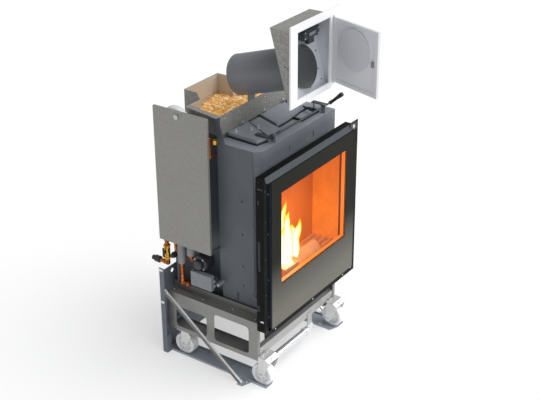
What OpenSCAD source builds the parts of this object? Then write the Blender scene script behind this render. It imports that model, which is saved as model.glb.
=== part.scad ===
// Pellet-fired fireplace insert on a slide-out trolley, with a filling hatch above its door.
// Millimetres. X runs to the right, Y to the rear, Z up. The origin lies on the floor, in the
// centre of the four floor bolts of the base.

/* [Floor base] */
// Half the width across the outer edges of the two floor rails
rail_outer = 367; // [340:1:400]
// Width of one floor rail
rail_w = 102; // [80:1:110]
// Height of a floor rail
rail_h = 12; // [8:1:16]
// Sheet of the rails, posts and crossbar
base_t = 3; // [2:0.5:4]
// Reach of the rails in front of the origin
rail_front = 354; // [330:1:400]
// Floor bolt spacing across the base
bolt_span_x = 560; // [540:1:580]
// Floor bolt spacing along the rails
bolt_span_y = 520; // [460:1:560]
// Diameter of the floor bolt holes
bolt_hole_d = 11; // [7:0.5:14]
// Width of one rear post
post_w = 142; // [120:1:160]
// Height of the rear posts' web
post_h = 482; // [440:1:484]
// Height of the rear posts' outer flange
post_high = 512; // [486:1:530]
// Posts' web behind the origin
post_y = 283; // [280:1:300]
// Depth of the posts' side flanges
post_depth = 27; // [20:1:40]
// Reach of a post outside its rail
post_overhang = 34; // [30:1:60]
// Height of the cross plate between the posts
crossbar_h = 200; // [120:1:240]
// Width of the strut's flange
strut_w = 13; // [8:1:20]
// Height at which the strut meets the post
strut_top = 390; // [300:1:420]
// Strut's foot in front of the origin
strut_foot = 226; // [180:1:250]

/* [Trolley] */
// Inset of the side frames from the rails' outer edges
trolley_inset = 6; // [3:1:20]
// Sheet of the trolley
side_t = 3; // [2:0.5:4]
// Underside of the side frames above the floor
frame_low = 143; // [130:1:150]
// Top of the side frames above the floor
frame_high = 365; // [340:1:380]
// Front edge of the side frames in front of the origin
frame_front = 300; // [290:1:301]
// Rear edge of the side frames behind the origin
frame_rear = 275; // [240:1:277]
// Width of the side frames' top flange
top_flange = 62; // [50:1:65]
// Height of the lip on the top flange
lip_h = 30; // [20:1:40]
// Width of the side frames' bottom flange
low_flange = 109; // [60:1:120]
// Height of the front beam
beam_h = 48; // [36:1:60]
// Depth of the front beam
beam_depth = 28; // [20:1:40]
// Diameter of the cross tube
cross_tube_d = 40; // [25:1:44]
// Length of the cross tube
cross_tube_len = 350; // [250:1:400]

/* [Wheels] */
// Diameter of a wheel
wheel_d = 119.4; // [90:0.2:119.6]
// Width of a wheel
wheel_w = 52; // [30:1:60]
// Height of the axles above the rails' tread
axle_rise = 60; // [59.9:0.1:65]
// Diameter of an axle pin
axle_d = 10; // [8:0.5:14]
// Front axles in front of the origin
front_axle = 315; // [305:1:330]
// Rear axles behind the origin
rear_axle = 180; // [120:1:200]
// Width of a wheel fork
fork_w = 90; // [80:1:95]
// Running clearance of bores on their pins
running = 0.06; // [0.02:0.01:0.1]

/* [Front frame and door] */
// Underside of the front frame's box above the floor
front_z = 331; // [326:1:334]
// Shift of the front frame's centre to the right
front_shift = 26; // [15:1:35]
// Plate behind the door, in front of the origin
front_y = 347; // [345:1:360]
// Reach of the frame's flange in front of that plate
flange_reach = 19; // [15:1:24]
// Depth of the front frame's rim behind that plate
rim_depth = 43; // [30:1:44]
// Width of the glass door
door_w = 750; // [720:1:760]
// Height of the glass door
door_h = 803; // [760:1:805]
// Underside of the door above the underside of the frame
door_lift = 22; // [20:1:24]
// Top of the frame's box above the top of the door
door_head = 14; // [12:1:18]
// Side of the frame's box beyond the side of the door
door_side = 20; // [16:1:24]
// Thickness of the door
door_t = 30; // [24:1:40]
// Gap between the door and the frame
door_gap = 3; // [3:0.5:6]
// Thickness of the door glass
glass_t = 4; // [3:0.5:6]
// Width of the clear window
window_w = 584; // [500:1:600]
// Underside of the window above the underside of the door
window_rise = 222; // [200:1:240]
// Top of the window below the top of the door
window_crown = 85; // [80:1:120]
// Corner radius of the door
door_r = 12; // [6:1:20]
// Diameter of the door hinge pins
hinge_d = 8; // [6:0.5:10]
// Distance of the hinge axis from the door's right edge
hinge_inset = 8; // [7:0.5:9]

/* [Firebox] */
// Inner width of the firebox
fire_w = 567; // [480:1:600]
// Shift of the firebox's centre to the right
fire_shift = 47; // [35:1:55]
// Firebox's back wall in front of the origin
fire_back = 170; // [150:1:190]
// Top of the hearth plate above the floor
hearth_z = 517; // [510:1:540]
// Height of the firebox above the hearth plate
fire_h = 583; // [520:1:600]
// Thickness of the firebox liner
liner_t = 4; // [3:0.5:6]
// Height of the hearth fins
fin_h = 16; // [8:1:24]
// Thickness of a hearth fin
fin_t = 13; // [8:1:20]
// Spacing of the hearth fins
fin_pitch = 35; // [28:1:36]
// Width of the burn pot
pot_w = 116; // [90:1:125]
// Depth of the burn pot
pot_depth = 116; // [90:1:125]
// Height of the burn pot's rim above the hearth plate
pot_rise = 50; // [30:1:60]
// Depth of the burn pot below the hearth plate
pot_drop = 44; // [30:1:50]
// Width of the ash drawer
drawer_w = 330; // [250:1:400]
// Height of the ash drawer
drawer_h = 58; // [40:1:60]

/* [Casing] */
// Casing's left side, left of the origin
case_left = 286; // [280:1:290]
// Casing's right side, right of the origin
case_right = 380; // [370:1:385]
// Casing's front in front of the origin
case_front = 266; // [262:1:275]
// Side panels' rear edge in front of the origin
case_rear = 22; // [18:1:26]
// Underside of the casing above the floor
case_low = 457; // [440:1:465]
// Top of the casing above the floor
case_top = 1246; // [1235:1:1260]
// Width of the casing's front left chamfer
chamfer = 33; // [20:1:40]
// Casing sheet
case_t = 2; // [1.5:0.5:3]
// Top of the heat exchanger tank above the floor
tank_top = 1150; // [1130:1:1170]
// Height of the deck covers
cover_h = 27; // [16:1:30]

/* [Hopper] */
// Height of the hopper's front wall top above the floor
bin_front_z = 1373; // [1360:1:1380]
// Height of the hopper's rear rim above the floor
bin_rear_z = 1423; // [1400:1:1440]
// Hopper's front wall in front of the origin
bin_front = 30; // [28:1:34]
// Hopper's step wall behind the origin
bin_step = 152; // [120:1:170]
// Hopper's rear wall behind the origin
bin_rear = 248; // [230:1:260]
// Left edge of the hopper, left of the origin
bin_left = 299; // [296:1:299]
// Right edge of the hopper, right of the origin
bin_right = 300; // [262:1:360]
// Left edge of the hopper's deep rear part, left of the origin
deep_left = 187; // [150:1:200]
// Right edge of the hopper's deep rear part, right of the origin
deep_right = 82; // [60:1:120]
// Hopper sheet
bin_t = 2; // [1:0.5:3]
// Width of the hopper's side rims
bin_flange = 30; // [15:1:40]
// Pitch of the hopper mesh
mesh_pitch = 36; // [28:1:60]
// Width of a mesh bar
mesh_bar = 4; // [3:0.5:6]

/* [Filling hatch] */
// Width of the hatch frame
hatch_w = 424; // [400:1:440]
// Height of the hatch frame
hatch_h = 393; // [380:1:400]
// Underside of the hatch frame above the floor
hatch_z = 1460; // [1450:1:1470]
// Left edge of the hatch frame, left of the origin
hatch_left = 193; // [185:1:200]
// Hatch frame's front in front of the origin
hatch_y = 380; // [375:1:390]
// Width of the hatch opening
mouth_w = 274; // [250:1:290]
// Height of the hatch opening
mouth_h = 323; // [300:1:330]
// Width of the frame left of the opening
mouth_left = 57; // [45:1:60]
// Width of the frame under the opening
mouth_low = 31; // [25:1:35]
// Thickness of the hatch frame
hatch_t = 8; // [5:0.5:12]
// Width of the hatch box
box_w = 329; // [310:1:340]
// Depth of the hatch box at its top
box_top_depth = 127; // [110:1:140]
// Depth of the hatch box at its bottom
box_low_depth = 26; // [20:1:40]
// Hatch box sheet
box_t = 2; // [1:0.5:3]
// Outer diameter of the chute tube
chute_d = 203; // [180:1:210]
// Wall of the chute tube
chute_wall = 2; // [1:0.5:3]
// Length of the chute tube
chute_len = 379; // [300:1:400]
// Slope of the chute tube in degrees
chute_tilt = 17.8; // [15:0.1:20]
// Height of the chute's mouth centre above the floor
chute_z = 1604; // [1595:1:1610]
// Width of the hatch door
lid_w = 295; // [290:1:310]
// Height of the hatch door
lid_h = 320; // [300:1:330]
// Thickness of the hatch door
lid_t = 14; // [8:1:18]
// Angle at which the hatch door stands open, in degrees
lid_open = 73.6; // [60:0.1:90]
// Diameter of the disc inside the hatch door
disc_d = 206; // [150:1:220]

/* [Cleaning lever] */
// Lever's rod in front of the origin
lever_y = 245; // [243:1:248]
// Height of the lever's rod above the casing top
lever_rise = 33; // [31:1:36]
// Diameter of the lever's rod
lever_d = 10; // [8:0.5:14]
// Length of the lever's arms
arm_len = 84; // [75:1:90]
// Width of the lever's arms
arm_w = 26; // [16:1:30]
// Length of the lever's handle
handle_len = 92; // [80:1:100]
// Angle of the handle above the horizontal, in degrees
handle_angle = 42; // [30:1:55]

/* [Service bay] */
// Service panel's outer face, left of the origin
bay_left = 363; // [362:1:366]
// Underside of the service panel above the floor
bay_low = 660; // [640:1:670]
// Top of the service panel above the floor
bay_high = 1388; // [1370:1:1390]
// Rear edge of the service panel behind the origin
bay_rear = 303; // [290:1:305]
// Bay wall, left of the origin
bay_wall_x = 250; // [246:1:252]
// Diameter of the expansion vessel
vessel_d = 150; // [120:1:200]
// Thickness of the expansion vessel
vessel_t = 44; // [40:1:45]
// Diameter of the copper pipes
pipe_d = 22; // [15:1:28]
// Diameter of the pipe sleeves
sleeve_d = 42; // [34:1:46]
// Height of the water unions above the floor
union_z = 502; // [500:1:520]

/* [Auger and smoke fan] */
// Inner diameter of the auger tube
auger_bore = 52; // [44:1:60]
// Wall of the auger tube
auger_wall = 3; // [2:0.5:4]
// Length of the auger tube
auger_len = 260; // [250:1:270]
// Slope of the auger tube in degrees
auger_tilt = 38; // [34:1:42]
// Diameter of the flue collar
flue_d = 80; // [76:1:100]
// Diameter of the air inlet collar
air_d = 60; // [50:1:70]
// Length of both collars
collar_len = 40; // [30:1:60]
// Diameter of the fan impeller
impeller_d = 150; // [120:1:160]

/* [Hidden] */
$fn = 48;

// Shared clearances
over = 1;
seat = 0.3;
loose = 2;

// Floor base
post_left = rail_outer + post_overhang;
post_right = post_left - post_w;
rail_nose_x = 316;
rail_nose = 21;
gusset_reach = 54;
gusset_len = 70;
gusset_tip = 34;
strut_out = 38;
strut_web = 24;
strut_x = rail_outer + strut_out;
post_front = post_y - post_depth;
strut_slope = (strut_top - base_t) / (post_front + strut_foot);
post_foot_h = 105;
post_hole_x = 301;
post_hole_drop = 32;
post_pin_x = 378;
post_hole_d = 24;
post_pin_hole_d = 9;
post_slot_z = 190;
post_slot_w = 6;
post_slot_h = 40;
crossbar_z = 20;
clip_w = 6;
clip_depth = 22;
clip_h = 11;
clip_drop = 15;
clip_low_z = 306;

// Trolley
side_x = rail_outer - trolley_inset;
lip_x = side_x - top_flange;
low_lip_x = side_x - low_flange + side_t;
low_lip_h = 12;
frame_margin = 55;
frame_sill = 24;
window_head = 42;
rear_window_head = 77;
mid_bar = 48;
mid_bar_y = -4;
window_r = 20;
return_w = 20;
flange_slot_y = 140;
flange_slot_len = 107;
flange_slot_w = 8;
beam_front = frame_front - side_t;
beam_z = 158;
axle_z = base_t + axle_rise;
wheel_r = wheel_d / 2;
wheel_x = side_x - side_t - loose;
wheel_groove = 3;
wheel_chamfer = 3;
pin_head_d = 17;
pin_head_t = 4;
spacer_d = 18;
fork_x = side_x - fork_w;
front_plate_y = [-30, 14.5];
rear_plate_y = [-42, 42];
fork_top_z = 166;
fork_nose_y = -52;
fork_nose_drop = 16;
cross_tube_y = -305;
cross_tube_z = 93;
tab_w = 56;
tab_t = 6;
hanger_inset = 14;
bolt_d = 8;
bolt_head_d = 14;
bolt_head_h = 5;

// Fork cheek: reach in wheel radii, rise as a share of its height
cheek_shares = [[-0.5, 1], [-0.8, 0.84], [-0.8, 0.72], [-0.59, 0.43], [-0.3, 0.14],
    [-0.17, 0.03], [0, 0], [0.19, 0.03], [0.24, 0.14], [0.24, 1]];
fork_bolts = [[-300, -308], [-340, -312], [-318, -312]];
fork_nose_angle = atan2(fork_nose_drop, front_plate_y[0] - fork_nose_y);

// Base tray and ash drawer
tray_z = 345;
tray_half = lip_x - side_t;
tray_front = 250;
tray_inset = 5;
tray_rear = frame_rear - tray_inset;
skirt_rear = 35;
tray_wall = frame_high + lip_h - tray_z;
drawer_z = 390;
drawer_back = 100;
drawer_t = 2;
drawer_x = fire_shift - drawer_w / 2;
drawer_front = front_y - seat;
runner_w = 10;
ash_hole_margin = 40;

// Front frame and door
front_x0 = front_shift - door_w / 2 - door_side;
front_x1 = front_shift + door_w / 2 + door_side;
front_h = door_lift + door_h + door_head;
front_top = front_z + front_h;
window_h = door_h - window_rise - window_crown;
frame_t = 4;
flange_y = front_y + flange_reach;
flange_side = 21;
flange_low = 16;
flange_high = 22;
door_x0 = front_shift - door_w / 2;
door_x1 = front_shift + door_w / 2;
door_z0 = front_z + door_lift;
door_z1 = door_z0 + door_h;
door_back = front_y + door_gap;
door_front = door_back + door_t;
window_x0 = front_shift - window_w / 2;
window_z0 = door_z0 + window_rise;
glass_inset = 2;
hinge_x = door_x1 - hinge_inset;
hinge_y = -(door_back + door_t / 2);
hinge_bite = 14;
hinge_lug_w = 20;
hinge_lug_h = 8;
gasket_gap = 8;
gasket_w = 12;
door_room = 10;
trim_x0 = front_x0 - flange_low;
trim_z0 = door_z1 + 2 * loose;
trim_z1 = front_top + flange_high - loose;
trim_t = 12;
hinge_cap = [hinge_x - 37, hinge_x + 19];
trim_x1 = hinge_cap[0] - loose;
hinge_cap_t = 10;
rim_holes = [[-317, 0.973], [-317, 0.358]];
rim_hole_d = 8;
rim_slots = [[[-344, 0.923], [-308, 0.937]], [[-344, 0.062], [-308, 0.076]], [[-326, 0.404], [-310, 0.601]],
    [[-322, 0.135], [-300, 0.175]], [[-322, 0.831], [-308, 0.862]]];

// Firebox
fire_x0 = fire_shift - fire_w / 2;
fire_x1 = fire_shift + fire_w / 2;
fire_top = hearth_z + fire_h;
hearth_t = 9;
liner_floor = hearth_z - hearth_t - liner_t;
liner_front = front_y - frame_t;
pot_x = -81;
pot_y = -260;
pot_wall = 5;
pot_lip = 6;
pot_play = 1;
block_h = 58;
block_depth_share = 0.55;
block_front = 14;
block_x = 201;
fin_x = 205;
fin_count = 5;
fin_first_y = -188;
smoke_slot_w = 360;
smoke_slot_depth = 30;

// Casing and tank
diag = case_t * sqrt(2);
diag_half = case_t * (sqrt(2) - 1);
tank_front = case_front - chamfer - loose - over;
tank_gap = 4;
tank_back = case_rear + tank_gap;
flue_tube_d = 46;
flue_tube_y = -95;
flue_tube_pitch = 100;
flue_tube_at = [0, 2, 3, 4, 5];
flue_tube_x = -200;
flue_tube_low = 520;
bin_floor = case_top + cover_h;
ear_slope = 40;
ear_top = bin_front_z - bin_t;
slot_w = 6;
slot_h = 28;
front_slots = [-33, 177];
front_slot_z = 1166;
hook_slot_y = -163;
hook_slots = [970, 789, 611, 501];
hook_w = 5;
hook_h = 14;

// Deck
cover_a = [[-211, -28], [-217, -205], [-149, -220], [-43, -28]];
cover_b = [[4, -168], [57, -28], [258, -28], [258, -150], [120, -168]];
ridge = [[-122, -205], [-20, -205], [44, -34], [-34, -34]];
ridge_h = 20;
well_x = [150, 300];
well_y = [-222, -150];
well_wall = 3;
well_h = 14;
deck_bar = [[280, -139], [250, -220]];
deck_bar_d = 9;
clip_places = [[-102, -42], [80, -42], [246, -42]];
clip_prong = 3;
clip_span = 13;
clip_height = 15;
studs = [[-125, -108, 27], [-79, -116, 20], [-183, -60, 27]];
stud_d = 8;
stud_h = 14;

// Cleaning lever and turbulators
lever_z = case_top + lever_rise;
lever_x0 = -149;
lever_x1 = case_right - loose;
arm_t = 5;
arm_a_x = -171;
arm_b_x = 318;
eye_d = 28;
eye_w = 10;
tab_a_x = -136;
tab_b_x = 300;
bearing_t = 4;
bearing_w = 26;
handle_t = 5;
handle_w = 16;
grip_len = 48;
grip_w = 24;
grip_t = 9;
push_rod_d = 8;
push_y = -170;
push_hole_d = 14;
yoke_rise = 15;
yoke_z = tank_top + yoke_rise;
yoke_t = 4;
yoke_y = [-182, -78];
scraper_d = 38;
scraper_t = 4;
scraper_stem = 6;
scraper_pitch = 90;
scraper_count = 6;

// Hopper and auger
bin_wall_left = bin_left - bin_flange;
deep_slope_y = 17;
step_rise = 20;
step_z = bin_front_z + step_rise;
funnel_front = 18;
funnel_left = 246;
neck_w = 60;
neck_y0 = 120;
neck_y1 = 180;
funnel_low = 966;
funnel_knee = 1180;
mesh_z = 1330;
mesh_t = 2;
auger_y = 190;
auger_z = 890;
auger_od = auger_bore + 2 * auger_wall;
auger_shaft_d = 16;
auger_play = 3;
flight_t = 3;
flight_pitch = 34;
flight_tilt = 22;
motor_d = 66;
motor_len = 62;
auger_plate_t = 6;
auger_plate_d = 80;
drop_d = 62;
drop_tilt = 40;
drop_back = 30;

// Smoke fan
fan_x = 262;
fan_z = 640;
fan_wall = 3;
fan_depth = 66;
fan_play = 6;
fan_motor_d = 84;
fan_motor_len = 60;
fan_shaft_d = 8;
blade_count = 10;
blade_w = 34;
flue_z = 536;
air_x = 60;
air_z = 440;

// Filling hatch
hatch_x1 = hatch_w - hatch_left;
mouth_x0 = mouth_left - hatch_left;
mouth_x1 = mouth_x0 + mouth_w;
mouth_z0 = hatch_z + mouth_low;
mouth_z1 = mouth_z0 + mouth_h;
chute_x = -10;
box_x0 = chute_x - box_w / 2;
box_x1 = chute_x + box_w / 2;
box_rise = 10;
box_z0 = hatch_z + box_rise;
box_drop = 26;
box_z1 = hatch_z + hatch_h - box_drop;
box_rear_top = hatch_y - box_top_depth;
box_rear_low = hatch_y - box_low_depth;
chute_y = -321;
chute_lead = 12;
hatch_pin_d = 6;
hatch_barrel_d = 12;
hatch_lug_h = 9;
hatch_axis_out = 26;
lid_px = mouth_x1 + hatch_axis_out;
lid_py = -(hatch_y + hatch_barrel_d / 2);
lid_x1 = lid_px - hatch_barrel_d / 2;
lid_z0 = mouth_z0 + seat;
lid_z1 = mouth_z0 + lid_h;
lid_gap = 0.5;
lid_rim = 16;
lid_sink = 3;
disc_t = 3;
disc_x = 146;
disc_z = 1686;
saddle_w = 60;
saddle_t = 4;
module_w = 130;
module_h = 44;
module_z = 1729;
module_depth = 46;
plug_w = 46;
plug_h = 26;

// Service bay
panel_t = 2;
panel_return = 12;
panel_pin_d = 6;
panel_axis_in = 8;
panel_axis_up = 6;
panel_axis_x = bay_left - panel_axis_in;
panel_axis_z = bay_low + panel_axis_up;
arm_d = 10;
bay_arm_t = 10;
wall_t = 2;
knob_d = 26;
knob_t = 6;
latch_y = 158;
latch_drop = 28;
cam_l = 34;
cam_w = 10;
vessel_y = 190;
vessel_x = -304;
vessel_top = 1397;
pipe_x = -319;
sleeve_a = [200, 530, 1150];
sleeve_b = [138, 592.5, 1150];
elbow_d = pipe_d * 4 / 3;
hook_y = 166;
hook_z = 415;
valve_y = 295;
valve_z = 525;
valve_h = 83;
valve_d = 32;
union_d = 36;
union_y = 342;
union_len = 34;
union_thread_d = 26;
thread_len = 16;
drain_y = -40;
drain_z = 483;
drain_d = 16;
drain_x0 = -334;
vent_x = -329;
vent_y = -44;
vent_z = 1274;
vent_run = 34;
vent_low_z = 1180;
vent_d = 24;
vent_h = 30;
pump_y = 84;
pump_z = 560;
pump_d = 92;
pump_x0 = -322;
terminal_x = -349;
terminal_y = [-10, 124];
terminal_z = [pump_z - 122, pump_z - 36];
terminal_depth = 27 - seat;
cable_d = 8;

// Block between two corners
module span(a, b) {
    translate(a)
        cube(b - a);
}

// Outline in Y and Z, drawn out along X
module along_x(x0, x1) {
    translate([x0, 0, 0])
        rotate([90, 0, 90])
            linear_extrude(x1 - x0)
                children();
}

// Outline in X and Z, drawn out along Y
module along_y(y0, y1) {
    translate([0, y1, 0])
        rotate([90, 0, 0])
            linear_extrude(y1 - y0)
                children();
}

// Outline in X and Y, drawn out along Z
module along_z(z0, z1) {
    translate([0, 0, z0])
        linear_extrude(z1 - z0)
            children();
}

// Round bars along the three axes
module rod_x(x0, x1, y, z, d) {
    translate([x0, y, z])
        rotate([0, 90, 0])
            cylinder(h = x1 - x0, d = d);
}

module rod_y(x, y0, y1, z, d) {
    translate([x, y1, z])
        rotate([90, 0, 0])
            cylinder(h = y1 - y0, d = d);
}

module rod_z(x, y, z0, z1, d) {
    translate([x, y, z0])
        cylinder(h = z1 - z0, d = d);
}

// Round bar between two points
module rod(p, q, d) {
    v = q - p;
    reach = norm(v);
    translate(p)
        rotate([0, acos(v.z / reach), atan2(v.y, v.x)])
            cylinder(h = reach, d = d);
}

// Pipe through points, with round elbows
module pipe_run(points, d, elbow) {
    for (i = [0:len(points) - 2])
        rod(points[i], points[i + 1], d);
    for (i = [1:1:len(points) - 2])
        translate(points[i])
            sphere(d = elbow);
}

// Flat outline of a rectangle with round corners
module round_rect(a, b, r) {
    translate([a.x + r, a.y])
        square([b.x - a.x - 2 * r, b.y - a.y]);
    translate([a.x, a.y + r])
        square([b.x - a.x, b.y - a.y - 2 * r]);
    for (x = [a.x + r, b.x - r], y = [a.y + r, b.y - r])
        translate([x, y])
            circle(r);
}

// Flat outline of a plain rectangle
module rect(a, b) {
    translate(a)
        square(b - a);
}

module both_sides() {
    children();
    mirror([1, 0, 0])
        children();
}

// Hexagon bolt head on a face that looks up
module bolt_up(x, y, z) {
    translate([x, y, z])
        cylinder(h = bolt_head_h, d = bolt_head_d, $fn = 6);
}

module floor_rails() color([0.35, 0.38, 0.44])
    both_sides() {
        difference() {
            span([-rail_outer, -rail_front, 0], [rail_w - rail_outer, post_y, rail_h]);
            span([base_t - rail_outer, -rail_front - over, base_t],
                [rail_w - rail_outer - base_t, post_y + over, rail_h + over]);
            for (x = [base_t, rail_w - base_t - seat])
                span([x - rail_outer, -rail_front - over, -over],
                    [x + seat - rail_outer, post_y + over, rail_h]);
            along_z(-over, rail_h + over)
                polygon([[-rail_nose_x, -rail_front], [-rail_nose_x, -rail_front - over],
                    [rail_w - rail_outer + over, -rail_front - over],
                    [rail_w - rail_outer + over, rail_nose - rail_front]]);
            for (y = [-bolt_span_y, bolt_span_y])
                rod_z(-bolt_span_x / 2, y / 2, -over, rail_h, bolt_hole_d);
        }
        along_z(0, base_t)
            polygon([[-rail_outer, -strut_foot - gusset_len / 2],
                [-rail_outer, -strut_foot + gusset_len / 2],
                [-rail_outer - gusset_reach, -strut_foot + gusset_tip / 2],
                [-rail_outer - gusset_reach, -strut_foot - gusset_tip / 2]]);
    }

module rear_posts() color([0.24, 0.24, 0.25])
    both_sides() {
        difference() {
            span([-post_left, post_y, 0], [-post_right, post_y + base_t, post_h]);
            rod_y(-post_hole_x, post_y - over, post_y + base_t + over,
                post_h - post_hole_drop, post_hole_d);
            rod_y(-post_pin_x, post_y - over, post_y + base_t + over,
                post_h - post_hole_drop, post_pin_hole_d);
            span([post_slot_w - post_left, post_y - over, post_slot_z],
                [2 * post_slot_w - post_left, post_y + base_t + over, post_slot_z + post_slot_h]);
        }
        span([-post_left, post_front, 0], [base_t - post_left, post_y + base_t, post_high]);
        span([-post_left, post_front, 0], [-rail_outer, post_front + base_t, post_foot_h]);
        span([-post_left, post_front, 0], [-rail_outer, post_y, base_t]);
    }

module rear_crossbar() color([0.26, 0.26, 0.28]) {
    span([-post_right, post_y, crossbar_z], [post_right, post_y + base_t, crossbar_z + crossbar_h]);
    span([-post_right, post_y, crossbar_z + crossbar_h - base_t],
        [post_right, post_y + post_depth, crossbar_z + crossbar_h]);
    span([-post_right, post_y, crossbar_z], [post_right, post_y + post_depth, crossbar_z + base_t]);
}

module brace_struts() color([0.72, 0.72, 0.74])
    both_sides() {
        along_x(-strut_x, strut_w - strut_x)
            polygon([[-strut_foot, base_t], [post_front, strut_top],
                [post_front, strut_top - base_t],
                [-strut_foot + base_t / strut_slope, base_t]]);
        along_x(-strut_x, base_t - strut_x)
            polygon([[-strut_foot, base_t], [post_front, strut_top],
                [post_front, strut_top - strut_web],
                [-strut_foot + strut_web / strut_slope, base_t]]);
    }

module post_clips() color("white")
    both_sides()
        for (z = [post_high - clip_drop, clip_low_z])
            span([-post_left - clip_w, post_y - clip_depth, z], [-post_left, post_y, z + clip_h]);

// Left side frame
module side_frame() {
    along_x(-side_x, side_t - side_x)
        difference() {
            rect([-frame_front, frame_low], [frame_rear, frame_high]);
            round_rect([-frame_front + frame_margin, frame_low + frame_sill],
                [mid_bar_y - mid_bar / 2, frame_high - window_head], window_r);
            round_rect([mid_bar_y + mid_bar / 2, frame_low + frame_sill],
                [frame_rear - frame_margin, frame_high - rear_window_head], window_r);
        }
    along_z(frame_high - side_t, frame_high)
        difference() {
            rect([-side_x, -frame_front], [-lip_x, frame_rear]);
            rect([-lip_x - flange_slot_w * 2, flange_slot_y],
                [-lip_x - flange_slot_w, flange_slot_y + flange_slot_len]);
        }
    span([-lip_x, -frame_front, frame_high - side_t],
        [side_t - lip_x, frame_rear, frame_high + lip_h]);
    span([-side_x, -frame_front, frame_low], [-low_lip_x, frame_rear, frame_low + side_t]);
    span([-low_lip_x - side_t, -frame_front, frame_low],
        [-low_lip_x, frame_rear, frame_low + low_lip_h]);
    span([-side_x, -frame_front, frame_low],
        [return_w - side_x, side_t - frame_front, frame_high]);
}

module side_frames() color([0.54, 0.53, 0.5])
    both_sides()
        side_frame();

module front_beam() color([0.56, 0.55, 0.5]) {
    beam_half = side_x - side_t;
    difference() {
        span([-beam_half, -beam_front, beam_z], [beam_half, beam_depth - beam_front, beam_z + beam_h]);
        span([-beam_half - over, side_t - beam_front, beam_z + side_t],
            [beam_half + over, beam_depth - beam_front + over, beam_z + beam_h - side_t]);
    }
    span([cross_tube_end() + hanger_inset, -beam_front - side_t, cross_tube_z - cross_tube_d / 2],
        [cross_tube_end() + tab_w, -beam_front, beam_z + beam_h / 2]);
}

function cross_tube_end() = cross_tube_len - fork_x;

module cross_tube() color([0.8, 0.8, 0.83]) {
    rod_x(-fork_x, cross_tube_end(), cross_tube_y, cross_tube_z, cross_tube_d);
    span([cross_tube_end() - tab_t, -beam_front - side_t - tab_t, cross_tube_z - cross_tube_d / 2],
        [cross_tube_end() + tab_w, -beam_front - side_t, cross_tube_z + cross_tube_d / 2]);
}

// Wheel fork about an axle, under a given height
module wheel_fork(y, top, plate) {
    foot = axle_z - wheel_r / 4;
    for (x = [-side_x, -fork_x - side_t])
        difference() {
            along_x(x, x + side_t)
                polygon([for (p = cheek_shares) [y + p.x * wheel_r, foot + p.y * (top - foot)]]);
            rod_x(x - over, x + side_t + over, y, axle_z, axle_d + 2 * running);
        }
    span([-side_x, y + plate[0], top - side_t], [-fork_x, y + plate[1], top]);
}

module wheel_forks() color([0.82, 0.82, 0.84])
    both_sides() {
        wheel_fork(-front_axle, fork_top_z, front_plate_y);
        along_x(-side_x, -fork_x)
            polygon([[front_plate_y[0] - front_axle, fork_top_z],
                [fork_nose_y - front_axle, fork_top_z - fork_nose_drop],
                [fork_nose_y - front_axle, fork_top_z - fork_nose_drop - side_t],
                [front_plate_y[0] - front_axle, fork_top_z - side_t]]);
        wheel_fork(rear_axle, frame_low, rear_plate_y);
    }

module axle_pins() color([0.62, 0.62, 0.64])
    both_sides()
        for (y = [-front_axle, rear_axle]) {
            rod_x(-side_x - pin_head_t, -fork_x + pin_head_t, y, axle_z, axle_d);
            rod_x(-side_x - pin_head_t, -side_x, y, axle_z, pin_head_d);
            rod_x(-wheel_x + wheel_w + seat, -fork_x - side_t, y, axle_z, spacer_d);
        }

module fasteners() color([0.6, 0.6, 0.6]) {
    both_sides()
        for (p = [fork_bolts[0], fork_bolts[1]])
            bolt_up(p.x, p.y, fork_top_z);
    both_sides()
        translate([fork_bolts[2].x, (fork_nose_y + front_plate_y[0]) / 2 - front_axle,
            fork_top_z - fork_nose_drop / 2])
            rotate([fork_nose_angle, 0, 0])
                bolt_up(0, 0, 0);
    for (p = studs)
        rod_z(p.x, p.y, case_top + p.z, case_top + cover_h + stud_h, stud_d);
    tab_y = -beam_front - side_t - tab_t;
    rod_y(cross_tube_end() + tab_w / 2, tab_y - bolt_head_h, tab_y, cross_tube_z, bolt_head_d);
}

// Wheel with two shallow grooves, on an axle along X
module wheel(x, y) {
    groove_w = wheel_w / 13;
    profile = [[axle_d / 2 + running, 0], [wheel_r - wheel_chamfer, 0], [wheel_r, wheel_chamfer],
        [wheel_r, wheel_w / 3], [wheel_r - wheel_groove, wheel_w / 3],
        [wheel_r - wheel_groove, wheel_w / 3 + groove_w], [wheel_r, wheel_w / 3 + groove_w],
        [wheel_r, wheel_w - wheel_chamfer], [wheel_r - wheel_chamfer, wheel_w],
        [axle_d / 2 + running, wheel_w]];
    translate([x, y, axle_z])
        rotate([0, 90, 0])
            rotate_extrude()
                polygon(profile);
}

module front_left_wheel() color([0.9, 0.9, 0.9])
    wheel(-wheel_x, -front_axle);

module front_right_wheel() color([0.9, 0.9, 0.9])
    wheel(wheel_x - wheel_w, -front_axle);

module rear_left_wheel() color([0.9, 0.9, 0.9])
    wheel(-wheel_x, rear_axle);

module rear_right_wheel() color([0.9, 0.9, 0.9])
    wheel(wheel_x - wheel_w, rear_axle);

// Casing from above, with its front left corner cut off
function case_outline(inset, rear) = [[-case_left + inset, rear],
    [-case_left + inset, chamfer - case_front], [chamfer - case_left, inset - case_front],
    [case_right - inset, inset - case_front], [case_right - inset, rear]];

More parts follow.
